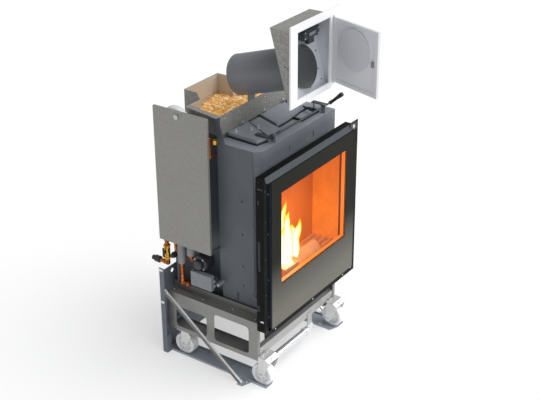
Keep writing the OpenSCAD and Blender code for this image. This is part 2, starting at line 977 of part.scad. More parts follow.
module base_tray() color([0.42, 0.43, 0.44]) {
    difference() {
        span([-tray_half, -tray_front, tray_z], [tray_half, tray_rear, tray_z + tray_wall]);
        span([case_t - tray_half, case_t - tray_front, tray_z + case_t],
            [tray_half - case_t, tray_rear + over, tray_z + tray_wall + over]);
        drawer_passage();
    }
    difference() {
        span([-case_left, -tray_front, tray_z], [case_left, -skirt_rear, case_low]);
        span([2 * case_t - case_left, case_t - tray_front, tray_z - over],
            [case_left - 2 * case_t, -skirt_rear - case_t, case_low + over]);
        drawer_passage();
        span([-case_left - over, -tray_front / 2 - slot_w, frame_high + lip_h + bolt_d],
            [2 * case_t - case_left + over, -tray_front / 2, case_low - bolt_d]);
    }
    difference() {
        along_z(case_low, case_low + case_t)
            polygon(case_outline(case_t, -case_rear));
        span([fire_x0 + ash_hole_margin, -tray_front + ash_hole_margin, case_low - over],
            [fire_x1 - ash_hole_margin, -fire_back - ash_hole_margin / 2, case_low + case_t + over]);
    }
    for (x = [drawer_x - runner_w / 2, drawer_x + drawer_w - runner_w / 2])
        span([x, -tray_front, tray_z], [x + runner_w, -drawer_back, drawer_z]);
}

module drawer_passage()
    span([drawer_x - loose, -tray_front - over, drawer_z],
        [drawer_x + drawer_w + loose, case_t * 2 - tray_front, drawer_z + drawer_h + loose]);

module left_panel() color([0.25, 0.27, 0.29])
    along_x(-case_left, case_t - case_left)
        difference() {
            polygon([[loose + chamfer - case_front, case_low], [-case_rear, case_low],
                [-case_rear, case_top + cover_h], [case_rear / 8, ear_top - cover_h],
                [case_rear / 8, ear_top], [-bin_front, ear_top],
                [-bin_front - ear_slope, case_top], [loose + chamfer - case_front, case_top]]);
            for (z = hook_slots)
                rect([hook_slot_y - hook_w / 2, z - hook_h / 2], [hook_slot_y + hook_w / 2, z + hook_h / 2]);
        }

module right_panel() color([0.25, 0.27, 0.29])
    span([case_right - case_t, loose + chamfer - case_front, case_low],
        [case_right, tray_rear, case_top]);

module front_panel() color([0.42, 0.43, 0.45])
    difference() {
        along_z(case_low + case_t, case_top)
            polygon([[-case_left, chamfer - case_front], [chamfer - case_left, -case_front],
                [case_right, -case_front], [case_right, chamfer - case_front],
                [case_right - case_t, chamfer - case_front],
                [case_right - case_t, case_t - case_front],
                [chamfer - case_left + diag_half, case_t - case_front],
                [diag - case_left, chamfer - case_front]]);
        span([fire_x0 - liner_t - loose, -case_front - over, case_low],
            [fire_x1 + liner_t + loose, case_t * 2 - case_front, fire_top + liner_t + loose]);
        for (x = front_slots)
            span([x, -case_front - over, front_slot_z],
                [x + slot_w, case_t * 2 - case_front, front_slot_z + slot_h]);
    }

module top_plate() color([0.42, 0.43, 0.45]) {
    difference() {
        along_z(case_top - case_t, case_top)
            polygon(case_outline(case_t + diag_half, -case_rear));
        for (x = [arm_a_x + arm_w / 2, arm_b_x + arm_w / 2])
            rod_z(x, push_y, case_top - case_t - over, case_top + over, push_hole_d);
    }
    for (x = [tab_a_x, tab_b_x])
        difference() {
            span([x, -lever_y - bearing_w / 2, case_top],
                [x + bearing_t, bearing_w / 2 - lever_y, lever_z + bearing_w / 2]);
            rod_x(x - over, x + bearing_t + over, -lever_y, lever_z, lever_d + 2 * running);
        }
}

module bay_wall() color([0.3, 0.31, 0.32]) {
    span([-bay_wall_x, -case_rear + loose, tray_z + case_t],
        [wall_t - bay_wall_x, bay_rear - bay_arm_t / 2, bin_floor]);
    for (y = [-case_rear + 2 * panel_t, bay_rear - 2 * panel_t - bay_arm_t]) {
        span([-panel_axis_x, y, panel_axis_z - arm_d / 2], [-bay_wall_x, y + bay_arm_t,
            panel_axis_z + arm_d / 2]);
        rod_y(-panel_axis_x, y, y + bay_arm_t, panel_axis_z, arm_d);
    }
    rod_y(-panel_axis_x, -case_rear - loose, -case_rear + 2 * panel_t + loose, panel_axis_z, panel_pin_d);
    rod_y(-panel_axis_x, bay_rear - 2 * panel_t - loose, bay_rear + loose, panel_axis_z, panel_pin_d);
    span([terminal_x + terminal_depth, terminal_y[0] + 2 * bay_arm_t, terminal_z[0] + 2 * bay_arm_t],
        [-bay_wall_x, terminal_y[1] - 2 * bay_arm_t, terminal_z[1] - 4 * bay_arm_t]);
}

module rear_cover() color([0.5, 0.5, 0.49]) {
    difference() {
        span([wall_t - bay_wall_x, tray_rear - case_t, frame_high + lip_h],
            [case_right - case_t, tray_rear, case_top]);
        rod_y(fan_x, tray_rear - 2 * case_t, tray_rear + over, flue_z, flue_d - loose);
        rod_y(air_x, tray_rear - 2 * case_t, tray_rear + over, air_z, air_d - 2 * chute_wall);
    }
    difference() {
        rod_y(air_x, tray_rear, tray_rear + collar_len, air_z, air_d);
        rod_y(air_x, tray_rear - over, tray_rear + collar_len + over, air_z, air_d - 2 * chute_wall);
    }
}

module deck_covers() color([0.3, 0.31, 0.33]) {
    difference() {
        union() {
            along_z(case_top, bin_floor)
                polygon(cover_a);
            along_z(case_top, bin_floor)
                polygon(cover_b);
        }
        rod_z(arm_a_x + arm_w / 2, push_y, case_top - over, bin_floor + over, push_hole_d);
    }
    along_z(case_top, case_top + ridge_h)
        polygon(ridge);
    difference() {
        span([well_x[0], well_y[0], case_top], [well_x[1], well_y[1], case_top + well_h]);
        span([well_x[0] + well_wall, well_y[0] + well_wall, case_top - over],
            [well_x[1] - well_wall, well_y[1] - well_wall, case_top + well_h + over]);
    }
}

module deck_clips() color([0.7, 0.7, 0.68])
    for (p = clip_places) {
        for (x = [-clip_span / 2, clip_span / 2 - clip_prong])
            span([p.x + x, p.y - clip_prong, bin_floor],
                [p.x + x + clip_prong, p.y + clip_prong, bin_floor + clip_height]);
        span([p.x - clip_span / 2, p.y - clip_prong, bin_floor],
            [p.x + clip_span / 2, p.y + clip_prong, bin_floor + clip_prong]);
    }

// Flat arm from the rod to the rear
module lever_arm(x)
    span([x, -lever_y, lever_z - arm_t / 2], [x + arm_w, arm_len - lever_y, lever_z + arm_t / 2]);

module cleaning_lever() color([0.16, 0.17, 0.18]) {
    rod_x(lever_x0, lever_x1, -lever_y, lever_z, lever_d);
    rod_x(lever_x0 - eye_w / 2, lever_x0 + eye_w / 2, -lever_y, lever_z, eye_d);
    lever_arm(arm_a_x);
    lever_arm(arm_b_x);
    translate([lever_x1 - handle_t, -lever_y, lever_z])
        rotate([180 - handle_angle, 0, 0])
            span([0, 0, -handle_w / 2], [handle_t, handle_len, handle_w / 2]);
}

module lever_grip() color([0.2, 0.21, 0.24])
    translate([lever_x1 - handle_t - grip_t, -lever_y, lever_z])
        rotate([180 - handle_angle, 0, 0])
            span([0, handle_len - grip_len, -grip_w / 2], [grip_t, handle_len, grip_w / 2]);

module turbulators() color([0.45, 0.4, 0.36]) {
    for (x = [arm_a_x + arm_w / 2, arm_b_x + arm_w / 2])
        rod_z(x, push_y, yoke_z, lever_z - arm_t / 2 - seat, push_rod_d);
    span([arm_a_x, yoke_y[0], yoke_z], [arm_b_x + arm_w, yoke_y[0] + arm_w, yoke_z + yoke_t]);
    span([flue_tube_x - arm_w, yoke_y[1] - arm_w, yoke_z], [arm_b_x + arm_w, yoke_y[1], yoke_z + yoke_t]);
    for (x = [arm_a_x, arm_b_x])
        span([x, yoke_y[0], yoke_z], [x + arm_w, yoke_y[1], yoke_z + yoke_t]);
    for (i = flue_tube_at) {
        x = flue_tube_x + i * flue_tube_pitch;
        rod_z(x, flue_tube_y, yoke_z - scraper_count * scraper_pitch, yoke_z, scraper_stem);
        for (k = [1:scraper_count])
            rod_z(x, flue_tube_y, yoke_z - k * scraper_pitch,
                yoke_z - k * scraper_pitch + scraper_t, scraper_d);
    }
}

module boiler_tank() color([0.35, 0.35, 0.37])
    difference() {
        span([-case_left + tank_gap, -tank_front, case_low + case_t],
            [case_right - tank_gap, -tank_back, tank_top]);
        span([fire_x0 - liner_t, -tank_front - over, case_low],
            [fire_x1 + liner_t, -fire_back + liner_t, fire_top + liner_t]);
        span([fire_shift - smoke_slot_w / 2, -fire_back - 2 * smoke_slot_depth, fire_top],
            [fire_shift + smoke_slot_w / 2, -fire_back - smoke_slot_depth, tank_top + over]);
        for (i = flue_tube_at)
            rod_z(flue_tube_x + i * flue_tube_pitch, flue_tube_y, flue_tube_low,
                tank_top + over, flue_tube_d);
        drop_pipe(drop_d + 2 * loose, 0);
        on_auger()
            cylinder(h = auger_len + loose, d = auger_od + 2 * loose);
        span([-case_left, liner_t - fire_back, case_low],
            [case_right, liner_t - fire_back + seat, tank_top + over]);
        for (x = [fire_x0 - liner_t - seat, fire_x1 + liner_t])
            span([x, -case_front, case_low], [x + seat, liner_t - fire_back + seat, tank_top + over]);
    }

module firebox_liner() color([0.75, 0.35, 0.15])
    difference() {
        span([fire_x0 - liner_t, -liner_front - frame_t, liner_floor],
            [fire_x1 + liner_t, liner_t - fire_back, fire_top + liner_t]);
        span([fire_x0, -front_y - over, liner_floor + liner_t], [fire_x1, -fire_back, fire_top]);
        span([fire_shift - smoke_slot_w / 2, -fire_back - 2 * smoke_slot_depth, fire_top - over],
            [fire_shift + smoke_slot_w / 2, -fire_back - smoke_slot_depth, fire_top + liner_t + over]);
        span([pot_x - pot_w / 2 - pot_play, pot_y - pot_depth / 2 - pot_play, liner_floor - over],
            [pot_x + pot_w / 2 + pot_play, pot_y + pot_depth / 2 + pot_play, hearth_z]);
        drop_pipe(drop_d + 2 * seat, 0);
    }

module hearth_casting() color([0.5, 0.3, 0.2]) {
    difference() {
        span([fire_x0, -liner_front, hearth_z - hearth_t], [fire_x1, -fire_back, hearth_z]);
        span([pot_x - pot_w / 2 - pot_play, pot_y - pot_depth / 2 - pot_play, hearth_z - hearth_t - over],
            [pot_x + pot_w / 2 + pot_play, pot_y + pot_depth / 2 + pot_play, hearth_z + over]);
    }
    for (i = [0:fin_count - 1])
        span([fin_x, fin_first_y - i * fin_pitch - fin_t / 2, hearth_z],
            [fire_x1, fin_first_y - i * fin_pitch + fin_t / 2, hearth_z + fin_h]);
    along_x(pot_x + pot_w / 2 + pot_lip + pot_play, block_x)
        polygon([[pot_y - block_depth_share * pot_depth, hearth_z], [pot_y - block_front, hearth_z + block_h],
            [pot_y, hearth_z + block_h], [pot_y, hearth_z]]);
}

module burn_pot() color([0.3, 0.2, 0.15])
    difference() {
        union() {
            span([pot_x - pot_w / 2, pot_y - pot_depth / 2, hearth_z - pot_drop],
                [pot_x + pot_w / 2, pot_y + pot_depth / 2, hearth_z + pot_rise]);
            span([pot_x - pot_w / 2 - pot_lip, pot_y - pot_depth / 2 - pot_lip, hearth_z + seat],
                [pot_x + pot_w / 2 + pot_lip, pot_y + pot_depth / 2 + pot_lip, hearth_z + pot_wall]);
        }
        span([pot_x - pot_w / 2 + pot_wall, pot_y - pot_depth / 2 + pot_wall, hearth_z - pot_drop + pot_wall],
            [pot_x + pot_w / 2 - pot_wall, pot_y + pot_depth / 2 - pot_wall, hearth_z + pot_rise + over]);
        for (i = [-1:1], k = [-1:1])
            rod_z(pot_x + i * pot_w / 4, pot_y + k * pot_depth / 4, hearth_z - pot_drop - over,
                hearth_z - pot_drop + pot_wall + over, pot_lip);
    }

module ash_drawer() color([0.3, 0.3, 0.3])
    difference() {
        span([drawer_x, -drawer_front, drawer_z], [drawer_x + drawer_w, -drawer_back, drawer_z + drawer_h]);
        span([drawer_x + drawer_t, drawer_t - drawer_front, drawer_z + drawer_t],
            [drawer_x + drawer_w - drawer_t, -drawer_back - drawer_t, drawer_z + drawer_h + over]);
    }

module front_frame() color([0.08, 0.08, 0.08])
    difference() {
        union() {
            span([front_x0, -flange_y, front_z], [front_x1, rim_depth - front_y, front_top]);
            along_y(-flange_y, frame_t - flange_y)
                rect([front_x0 - flange_side, front_z - flange_low],
                    [front_x1 + flange_side, front_top + flange_high]);
        }
        span([front_x0 + frame_t, frame_t - flange_y, front_z + frame_t],
            [front_x1 - frame_t, -front_y, front_top - frame_t]);
        span([front_x0 + frame_t, frame_t - front_y, front_z + frame_t],
            [front_x1 - frame_t, rim_depth - front_y + over, front_top - frame_t]);
        along_y(-flange_y - over, 2 * frame_t - flange_y)
            rect([door_x0 - door_room, door_z0 - door_room], [door_x1 + door_room, door_z1 + door_room]);
        span([fire_x0 - liner_t, -front_y - over, liner_floor],
            [fire_x1 + liner_t, 2 * frame_t - front_y, fire_top + liner_t]);
        span([drawer_x - loose, -front_y - over, drawer_z],
            [drawer_x + drawer_w + loose, 2 * frame_t - front_y, drawer_z + drawer_h + loose]);
        for (x = [front_x0, front_x1 - frame_t])
            along_x(x - over, x + frame_t + over) {
                for (p = rim_holes)
                    translate([p.x, front_z + p.y * front_h])
                        circle(d = rim_hole_d);
                for (c = rim_slots)
                    rect([c[0].x, front_z + c[0].y * front_h], [c[1].x, front_z + c[1].y * front_h]);
            }
    }

// Bevelled bar over the door
module frame_trim() color([0.6, 0.61, 0.62])
    intersection() {
        along_x(trim_x0, trim_x1)
            polygon([[-flange_y, trim_z0], [-flange_y - trim_t, trim_z0],
                [-flange_y - trim_t, trim_z0 + loose], [-flange_y - loose, trim_z1], [-flange_y, trim_z1]]);
        along_y(-flange_y - trim_t, -flange_y)
            round_rect([trim_x0, trim_z0], [trim_x1 + door_r, trim_z1 + door_r], door_r);
    }

module hinge_blocks() color([0.12, 0.12, 0.12]) {
    for (z = [[door_z1 + seat, door_z1 + seat + hinge_lug_h], [door_z0 - seat - hinge_lug_h, door_z0 - seat]])
        span([hinge_x - hinge_lug_w / 2, hinge_y - hinge_lug_w / 2, z[0]],
            [hinge_x + hinge_lug_w / 2, -front_y, z[1]]);
    span([hinge_cap[0], -flange_y - hinge_cap_t, trim_z0], [hinge_cap[1], -flange_y, trim_z1]);
    rod_z(hinge_x, hinge_y, door_z1 - hinge_bite, door_z1 + seat + hinge_lug_h, hinge_d);
    rod_z(hinge_x, hinge_y, door_z0 - seat - hinge_lug_h, door_z0 + hinge_bite, hinge_d);
}

module door_shell() color([0.5, 0.5, 0.52])
    difference() {
        along_y(-door_front + glass_t, -door_back)
            difference() {
                round_rect([door_x0, door_z0], [door_x1, door_z1], door_r);
                rect([window_x0, window_z0], [window_x0 + window_w, window_z0 + window_h]);
            }
        rod_z(hinge_x, hinge_y, door_z1 - hinge_bite - loose, door_z1 + over, hinge_d + 2 * running);
        rod_z(hinge_x, hinge_y, door_z0 - over, door_z0 + hinge_bite + loose, hinge_d + 2 * running);
    }

module door_glass() color([0.1, 0.1, 0.1, 0.6])
    along_y(-door_front, -door_front + glass_t)
        round_rect([door_x0 + glass_inset, door_z0 + glass_inset],
            [door_x1 - glass_inset, door_z1 - glass_inset], door_r - glass_inset);

module door_gasket() color([0.2, 0.2, 0.2])
    along_y(-door_back, -door_back + door_gap - seat)
        difference() {
            rect([window_x0 - gasket_gap - gasket_w, window_z0 - gasket_gap - gasket_w],
                [window_x0 + window_w + gasket_gap + gasket_w,
                window_z0 + window_h + gasket_gap + gasket_w]);
            rect([window_x0 - gasket_gap, window_z0 - gasket_gap],
                [window_x0 + window_w + gasket_gap, window_z0 + window_h + gasket_gap]);
        }

// Solid hopper, drawn in by an inset
module bin_body(inset, low) {
    front = inset - bin_front;
    along_x(-bin_wall_left + inset, bin_right - inset)
        polygon([[front, low], [bin_step - inset, low], [bin_step - inset, step_z + 2 * inset],
            [front, bin_front_z + 2 * inset]]);
    along_x(-deep_left + inset, deep_right - inset)
        polygon([[bin_step - 2 * over - inset, low], [bin_rear - inset, low],
            [bin_rear - inset, bin_rear_z + 2 * inset],
            [bin_step + deep_slope_y, bin_rear_z + 2 * inset],
            [bin_step - inset, step_z + 2 * inset], [bin_step - 2 * over - inset, step_z]]);
}

// Solid funnel under the hopper, drawn in by an inset
module funnel_body(inset, high, low)
    intersection() {
        along_x(-funnel_left + inset, bin_right - inset)
            polygon([[inset - funnel_front, high], [inset - funnel_front, funnel_knee],
                [neck_y0 + inset, low], [neck_y1 - inset, low],
                [bin_rear - inset, funnel_knee], [bin_rear - inset, high]]);
        along_y(-bin_front, bin_rear)
            polygon([[-funnel_left + inset, high], [-funnel_left + inset, bin_floor - cover_h],
                [pot_x - neck_w / 2 + inset, low], [pot_x + neck_w / 2 - inset, low],
                [bin_right - inset, bin_floor - cover_h], [bin_right - inset, high]]);
        along_z(low, high)
            union() {
                rect([-funnel_left, -bin_front], [bin_right, bin_step - inset]);
                rect([-deep_left + inset, -bin_front], [deep_right - inset, bin_rear]);
            }
    }

module hopper() color([0.5, 0.49, 0.46]) {
    difference() {
        union() {
            bin_body(0, bin_floor);
            funnel_body(0, bin_floor + over, funnel_low);
        }
        bin_body(bin_t, bin_floor + bin_t);
        funnel_body(bin_t, bin_floor + 2 * bin_t, funnel_low - over);
        on_auger()
            cylinder(h = auger_len, d = auger_od + 2 * seat);
    }
    for (x = [-bin_left, bin_right])
        along_x(x, x + bin_flange)
            polygon([[-bin_front, bin_front_z - bin_t], [bin_step, step_z - bin_t],
                [bin_step, step_z], [-bin_front, bin_front_z]]);
}

module hopper_mesh() color([0.6, 0.6, 0.6])
    along_z(mesh_z, mesh_z + mesh_t)
        intersection() {
            union() {
                rect([bin_t - bin_wall_left, bin_t - bin_front],
                    [bin_right - bin_t, bin_step - bin_t]);
                rect([bin_t - deep_left, bin_step - 2 * bin_t],
                    [deep_right - bin_t, bin_rear - bin_t]);
            }
            union() {
                for (x = [mesh_pitch / 2 - bin_wall_left:mesh_pitch:bin_right])
                    rect([x, -bin_front], [x + mesh_bar, bin_rear]);
                for (y = [mesh_pitch / 2 - bin_front:mesh_pitch:bin_rear])
                    rect([-bin_wall_left, y], [bin_right, y + mesh_bar]);
            }
        }

// Auger's frame: its Z runs up along the screw
module on_auger()
    translate([pot_x, auger_y, auger_z])
        rotate([90 - auger_tilt, 0, 0])
            children();

// Drop pipe from the auger down into the firebox
module drop_pipe(d, back) {
    upper_y = auger_y - auger_len * cos(auger_tilt) + drop_back;
    upper_z = auger_z + auger_len * sin(auger_tilt) - drop_back;
    reach = (upper_y + fire_back + liner_t) / cos(drop_tilt);
    translate([pot_x, upper_y, upper_z])
        rotate([90 + drop_tilt, 0, 0])
            translate([0, 0, -back])
                cylinder(h = reach + back, d = d);
}

module auger_tube() color([0.5, 0.5, 0.5])
    difference() {
        union() {
            on_auger()
                cylinder(h = auger_len, d = auger_od);
            span([pot_x - neck_w / 2, neck_y0, neck_z()], [pot_x + neck_w / 2, neck_y1, funnel_low]);
            drop_pipe(drop_d, 0);
            on_auger()
                cylinder(h = auger_plate_t, d = auger_plate_d);
        }
        on_auger()
            translate([0, 0, -over])
                cylinder(h = auger_len - auger_wall + over, d = auger_bore);
        span([pot_x - neck_w / 2 + auger_wall, neck_y0 + auger_wall, neck_z() + auger_wall],
            [pot_x + neck_w / 2 - auger_wall, neck_y1 - auger_wall, funnel_low + over]);
        drop_pipe(drop_d - 2 * auger_wall, over);
    }

function neck_z() = auger_z + (auger_y - neck_y1) * tan(auger_tilt);

module auger_screw() color([0.6, 0.6, 0.62])
    on_auger() {
        translate([0, 0, -auger_plate_t])
            cylinder(h = auger_len - auger_wall - auger_play + auger_plate_t, d = auger_shaft_d);
        for (z = [flight_pitch:flight_pitch:auger_len - flight_pitch])
            translate([0, 0, z])
                rotate([flight_tilt, 0, 0])
                    cylinder(h = flight_t, d = auger_bore - 4 * auger_play, center = true);
    }

module auger_motor() color([0.35, 0.35, 0.38])
    on_auger()
        translate([0, 0, -motor_len])
            difference() {
                cylinder(h = motor_len, d = motor_d);
                translate([0, 0, motor_len - 2 * auger_plate_t])
                    cylinder(h = 2 * auger_plate_t + over, d = auger_shaft_d + 2 * running);
            }

module fan_housing() color([0.5, 0.5, 0.52]) {
    housing_d = impeller_d + 2 * fan_play + 2 * fan_wall;
    back = -tank_back + fan_depth;
    difference() {
        union() {
            rod_y(fan_x, -tank_back, back, fan_z, housing_d);
            span([fan_x - flue_d / 2 - fan_wall, -tank_back, flue_z - flue_d / 2 - fan_wall],
                [fan_x + flue_d / 2 + fan_wall, back, fan_z]);
            rod_y(fan_x, back - over, tray_rear + over, flue_z, flue_d - loose);
            rod_y(fan_x, tray_rear, tray_rear + collar_len, flue_z, flue_d);
            rod_y(fan_x, back - over, back + fan_motor_len, fan_z, fan_motor_d);
        }
        rod_y(fan_x, fan_wall - tank_back, back - fan_wall, fan_z, housing_d - 2 * fan_wall);
        span([fan_x - flue_d / 2, fan_wall - tank_back, flue_z - flue_d / 2],
            [fan_x + flue_d / 2, back - fan_wall, fan_z]);
        rod_y(fan_x, back - 2 * fan_wall, tray_rear + collar_len + over, flue_z, flue_d - 2 * chute_wall);
        rod_y(fan_x, back - 2 * fan_wall, back + fan_motor_len / 2, fan_z, fan_shaft_d + 2 * running);
    }
}

module fan_impeller() color([0.55, 0.55, 0.56]) {
    back = -tank_back + fan_depth;
    disc_y = back - fan_wall - fan_play;
    rod_y(fan_x, disc_y - fan_wall, disc_y, fan_z, impeller_d);
    rod_y(fan_x, disc_y - blade_w, back + fan_motor_len / 2 - fan_play, fan_z, fan_shaft_d);
    for (i = [0:blade_count - 1])
        translate([fan_x, 0, fan_z])
            rotate([0, i * 360 / blade_count, 0])
                span([-fan_wall / 2, disc_y - blade_w, fan_motor_d / 4],
                    [fan_wall / 2, disc_y - fan_wall / 2, impeller_d / 2 - over]);
}

// Chute's frame: its Z runs down to the rear
module on_chute()
    translate([chute_x, chute_y, chute_z])
        rotate([-90 - chute_tilt, 0, 0])
            children();

module chute_tube() color([0.35, 0.36, 0.38])
    difference() {
        union() {
            on_chute()
                translate([0, 0, -chute_lead])
                    cylinder(h = chute_len + chute_lead, d = chute_d);
            span([chute_x - saddle_w / 2, -bin_front, bin_front_z + seat],
                [chute_x + saddle_w / 2, saddle_t - bin_front, chute_z - chute_d / 2]);
        }
        on_chute()
            translate([0, 0, -chute_lead - over])
                cylinder(h = chute_len + chute_lead + 2 * over, d = chute_d - 2 * chute_wall);
    }

module hatch_box() color([0.5, 0.5, 0.49])
    difference() {
        along_x(box_x0, box_x1)
            polygon([[hatch_t - hatch_y, box_z0], [-box_rear_low, box_z0], [-box_rear_top, box_z1],
                [hatch_t - hatch_y, box_z1]]);
        along_x(box_x0 + box_t, box_x1 - box_t)
            polygon([[hatch_t - hatch_y - over, box_z0 + box_t], [-box_rear_low - box_t,
                box_z0 + box_t], [-box_rear_top - box_t, box_z1 - box_t],
                [hatch_t - hatch_y - over, box_z1 - box_t]]);
        on_chute()
            translate([0, 0, -chute_lead - over])
                cylinder(h = chute_d / 2, d = chute_d);
    }

module hatch_frame() color([0.92, 0.92, 0.93]) {
    difference() {
        span([-hatch_left, -hatch_y, hatch_z], [hatch_x1, hatch_t - hatch_y, hatch_z + hatch_h]);
        span([mouth_x0, -hatch_y - over, mouth_z0], [mouth_x1, hatch_t - hatch_y + over, mouth_z1]);
    }
    for (z = [mouth_z0 - hatch_lug_h, mouth_z0 + lid_h + seat]) {
        rod_z(lid_px, lid_py, z, z + hatch_lug_h, hatch_barrel_d);
        span([lid_px - hatch_barrel_d / 2, lid_py, z],
            [lid_px + hatch_barrel_d / 2, -hatch_y, z + hatch_lug_h]);
    }
    rod_z(lid_px, lid_py, mouth_z0 - hatch_lug_h, mouth_z0 + 2 * hatch_lug_h, hatch_pin_d);
    rod_z(lid_px, lid_py, mouth_z0 + lid_h - 2 * hatch_lug_h,
        mouth_z0 + lid_h + seat + hatch_lug_h, hatch_pin_d);
}

// Turns a closed hatch door open about its hinge
module on_lid()
    translate([lid_px, lid_py, 0])
        rotate([0, 0, lid_open])
            translate([-lid_px, -lid_py, 0])
                children();

module hatch_door() color([0.9, 0.9, 0.92])
    on_lid()
        difference() {
            union() {
                span([lid_x1 - lid_w, -hatch_y - lid_gap - lid_t, lid_z0],
            [lid_x1, -hatch_y - lid_gap, lid_z1]);
                rod_z(lid_px, lid_py, lid_z0, lid_z1, hatch_barrel_d - 2 * lid_gap);
                span([lid_x1 - over, lid_py - lid_gap, lid_z0],
                    [lid_px, lid_py + lid_gap, lid_z1]);
            }
            span([lid_x1 - lid_w + lid_rim, -hatch_y - lid_gap - lid_sink, lid_z0 + lid_rim],
                [lid_x1 - lid_rim, -hatch_y, lid_z1 - lid_rim]);
            rod_z(lid_px, lid_py, lid_z0 - over, lid_z1 + over, hatch_pin_d + 2 * running);
        }

module hatch_disc() color([0.25, 0.26, 0.28])
    on_lid()
        rod_y(lid_px - disc_x, -hatch_y - lid_gap - lid_sink, disc_t - hatch_y, disc_z, disc_d);

module control_module() color([0.3, 0.32, 0.36]) {
    back = -box_rear_top - (box_z1 - module_z) * (box_rear_low - box_rear_top)
        / (box_z1 - box_z0) - box_t;
    x1 = chute_x + module_w;
    span([x1 - module_w, back - module_depth, module_z], [x1, back - seat, module_z + module_h]);
    span([x1 - module_w / 2 - plug_w / 2, back - module_depth, module_z - plug_h],
        [x1 - module_w / 2 + plug_w / 2, back - module_depth / 2, module_z]);
}

module service_panel() color([0.52, 0.52, 0.5])
    difference() {
        span([-bay_left, -case_rear, bay_low], [panel_t + panel_return - bay_left, bay_rear, bay_high]);
        span([panel_t - bay_left, panel_t - case_rear, bay_low - over],
            [panel_t + panel_return - bay_left + over, bay_rear - panel_t, bay_high - panel_t]);
        rod_y(-panel_axis_x, -case_rear - over, bay_rear + over, panel_axis_z, panel_pin_d + 2 * running);
        rod_x(-bay_left - over, panel_t - bay_left + over, latch_y, bay_high - latch_drop,
            fan_shaft_d + 2 * running);
    }

module panel_latch() color([0.15, 0.15, 0.15]) {
    z = bay_high - latch_drop;
    rod_x(-bay_left - seat - knob_t, -bay_left - seat, latch_y, z, knob_d);
    rod_x(-bay_left - knob_t, panel_t * 3 - bay_left, latch_y, z, fan_shaft_d);
    span([2 * panel_t - bay_left, latch_y - cam_w / 2, z - cam_l / 2],
        [3 * panel_t - bay_left, latch_y + cam_w / 2, z + cam_l / 2]);
}

module expansion_vessel() color([0.6, 0.12, 0.1]) {
    span([vessel_x, vessel_y - bay_arm_t, bin_floor - bay_arm_t],
        [-bay_wall_x, vessel_y + bay_arm_t, bin_floor]);
    translate([vessel_x, vessel_y, vessel_top - vessel_d / 2])
        rotate([0, -90, 0])
            rotate_extrude()
                polygon([[0, 0], [vessel_d / 2 - vessel_t / 4, 0], [vessel_d / 2, vessel_t / 4],
                    [vessel_d / 2, vessel_t * 3 / 4], [vessel_d / 2 - vessel_t / 4, vessel_t],
                    [0, vessel_t]]);
}

module circulation_pump() color([0.25, 0.27, 0.3]) {
    rod_x(pump_x0, -bay_wall_x, pump_y, pump_z, pump_d);
    rod_x(pump_x0 - pipe_d, pump_x0, pump_y, pump_z, pump_d * 3 / 5);
}

module terminal_box() color([0.54, 0.54, 0.57])
    span([terminal_x, terminal_y[0], terminal_z[0]],
        [terminal_x + terminal_depth, terminal_y[1], terminal_z[1]]);

module cables() color([0.06, 0.06, 0.06]) {
    x = terminal_x + terminal_depth / 2;
    y = terminal_y[1] - pump_d / 4;
    z = pump_z - pump_d / 3;
    bar_z = case_top + well_h + deck_bar_d / 2;
    pipe_run([[x, y, terminal_z[1]], [x, y, z], [pump_x0, y, z]], cable_d, cable_d + over);
    rod([deck_bar[0].x, deck_bar[0].y, bar_z], [deck_bar[1].x, deck_bar[1].y, bar_z], deck_bar_d);
}

module pipe_sleeves() color([0.45, 0.45, 0.45])
    for (s = [sleeve_a, sleeve_b])
        rod_z(pipe_x, s[0], s[1], s[2], sleeve_d);

module copper_pipes() color([0.72, 0.4, 0.2]) {
    pipe_run([[pipe_x, sleeve_a[0], sleeve_a[1]], [pipe_x, sleeve_a[0], hook_z], [pipe_x, hook_y, hook_z],
        [-bay_wall_x, hook_y, hook_z]], pipe_d, elbow_d);
    pipe_run([[pipe_x, valve_y, valve_z], [pipe_x, valve_y, union_z], [pipe_x, union_y, union_z]],
        pipe_d, elbow_d);
    pipe_run([[pipe_x, valve_y, valve_z + valve_h], [pipe_x, valve_y, valve_z + valve_h + elbow_d],
        [-bay_wall_x, valve_y, valve_z + valve_h + elbow_d]], pipe_d, elbow_d);
    pipe_run([[-bay_wall_x, vent_y + vent_run, vent_low_z], [vent_x, vent_y + vent_run, vent_low_z],
        [vent_x, vent_y + vent_run, vent_z], [vent_x, vent_y + vent_d / 2, vent_z]],
        vent_d / 2, vent_d * 2 / 3);
}

module brass_fittings() color([0.78, 0.6, 0.16]) {
    rod_z(pipe_x, valve_y, valve_z, valve_z + valve_h, valve_d);
    rod_x(drain_x0, -case_left, drain_y, drain_z, drain_d);
    rod_z(vent_x, vent_y, vent_z - vent_h / 2, vent_z + vent_h / 2, vent_d);
    difference() {
        union() {
            translate([pipe_x, union_y + union_len, union_z])
                rotate([90, 0, 0])
                    cylinder(h = union_len, d = union_d, $fn = 6);
            rod_y(pipe_x, union_y + union_len, union_y + union_len + thread_len, union_z, union_thread_d);
        }
        rod_y(pipe_x, union_y + over, union_y + union_len + thread_len + over, union_z, drain_d);
    }
}

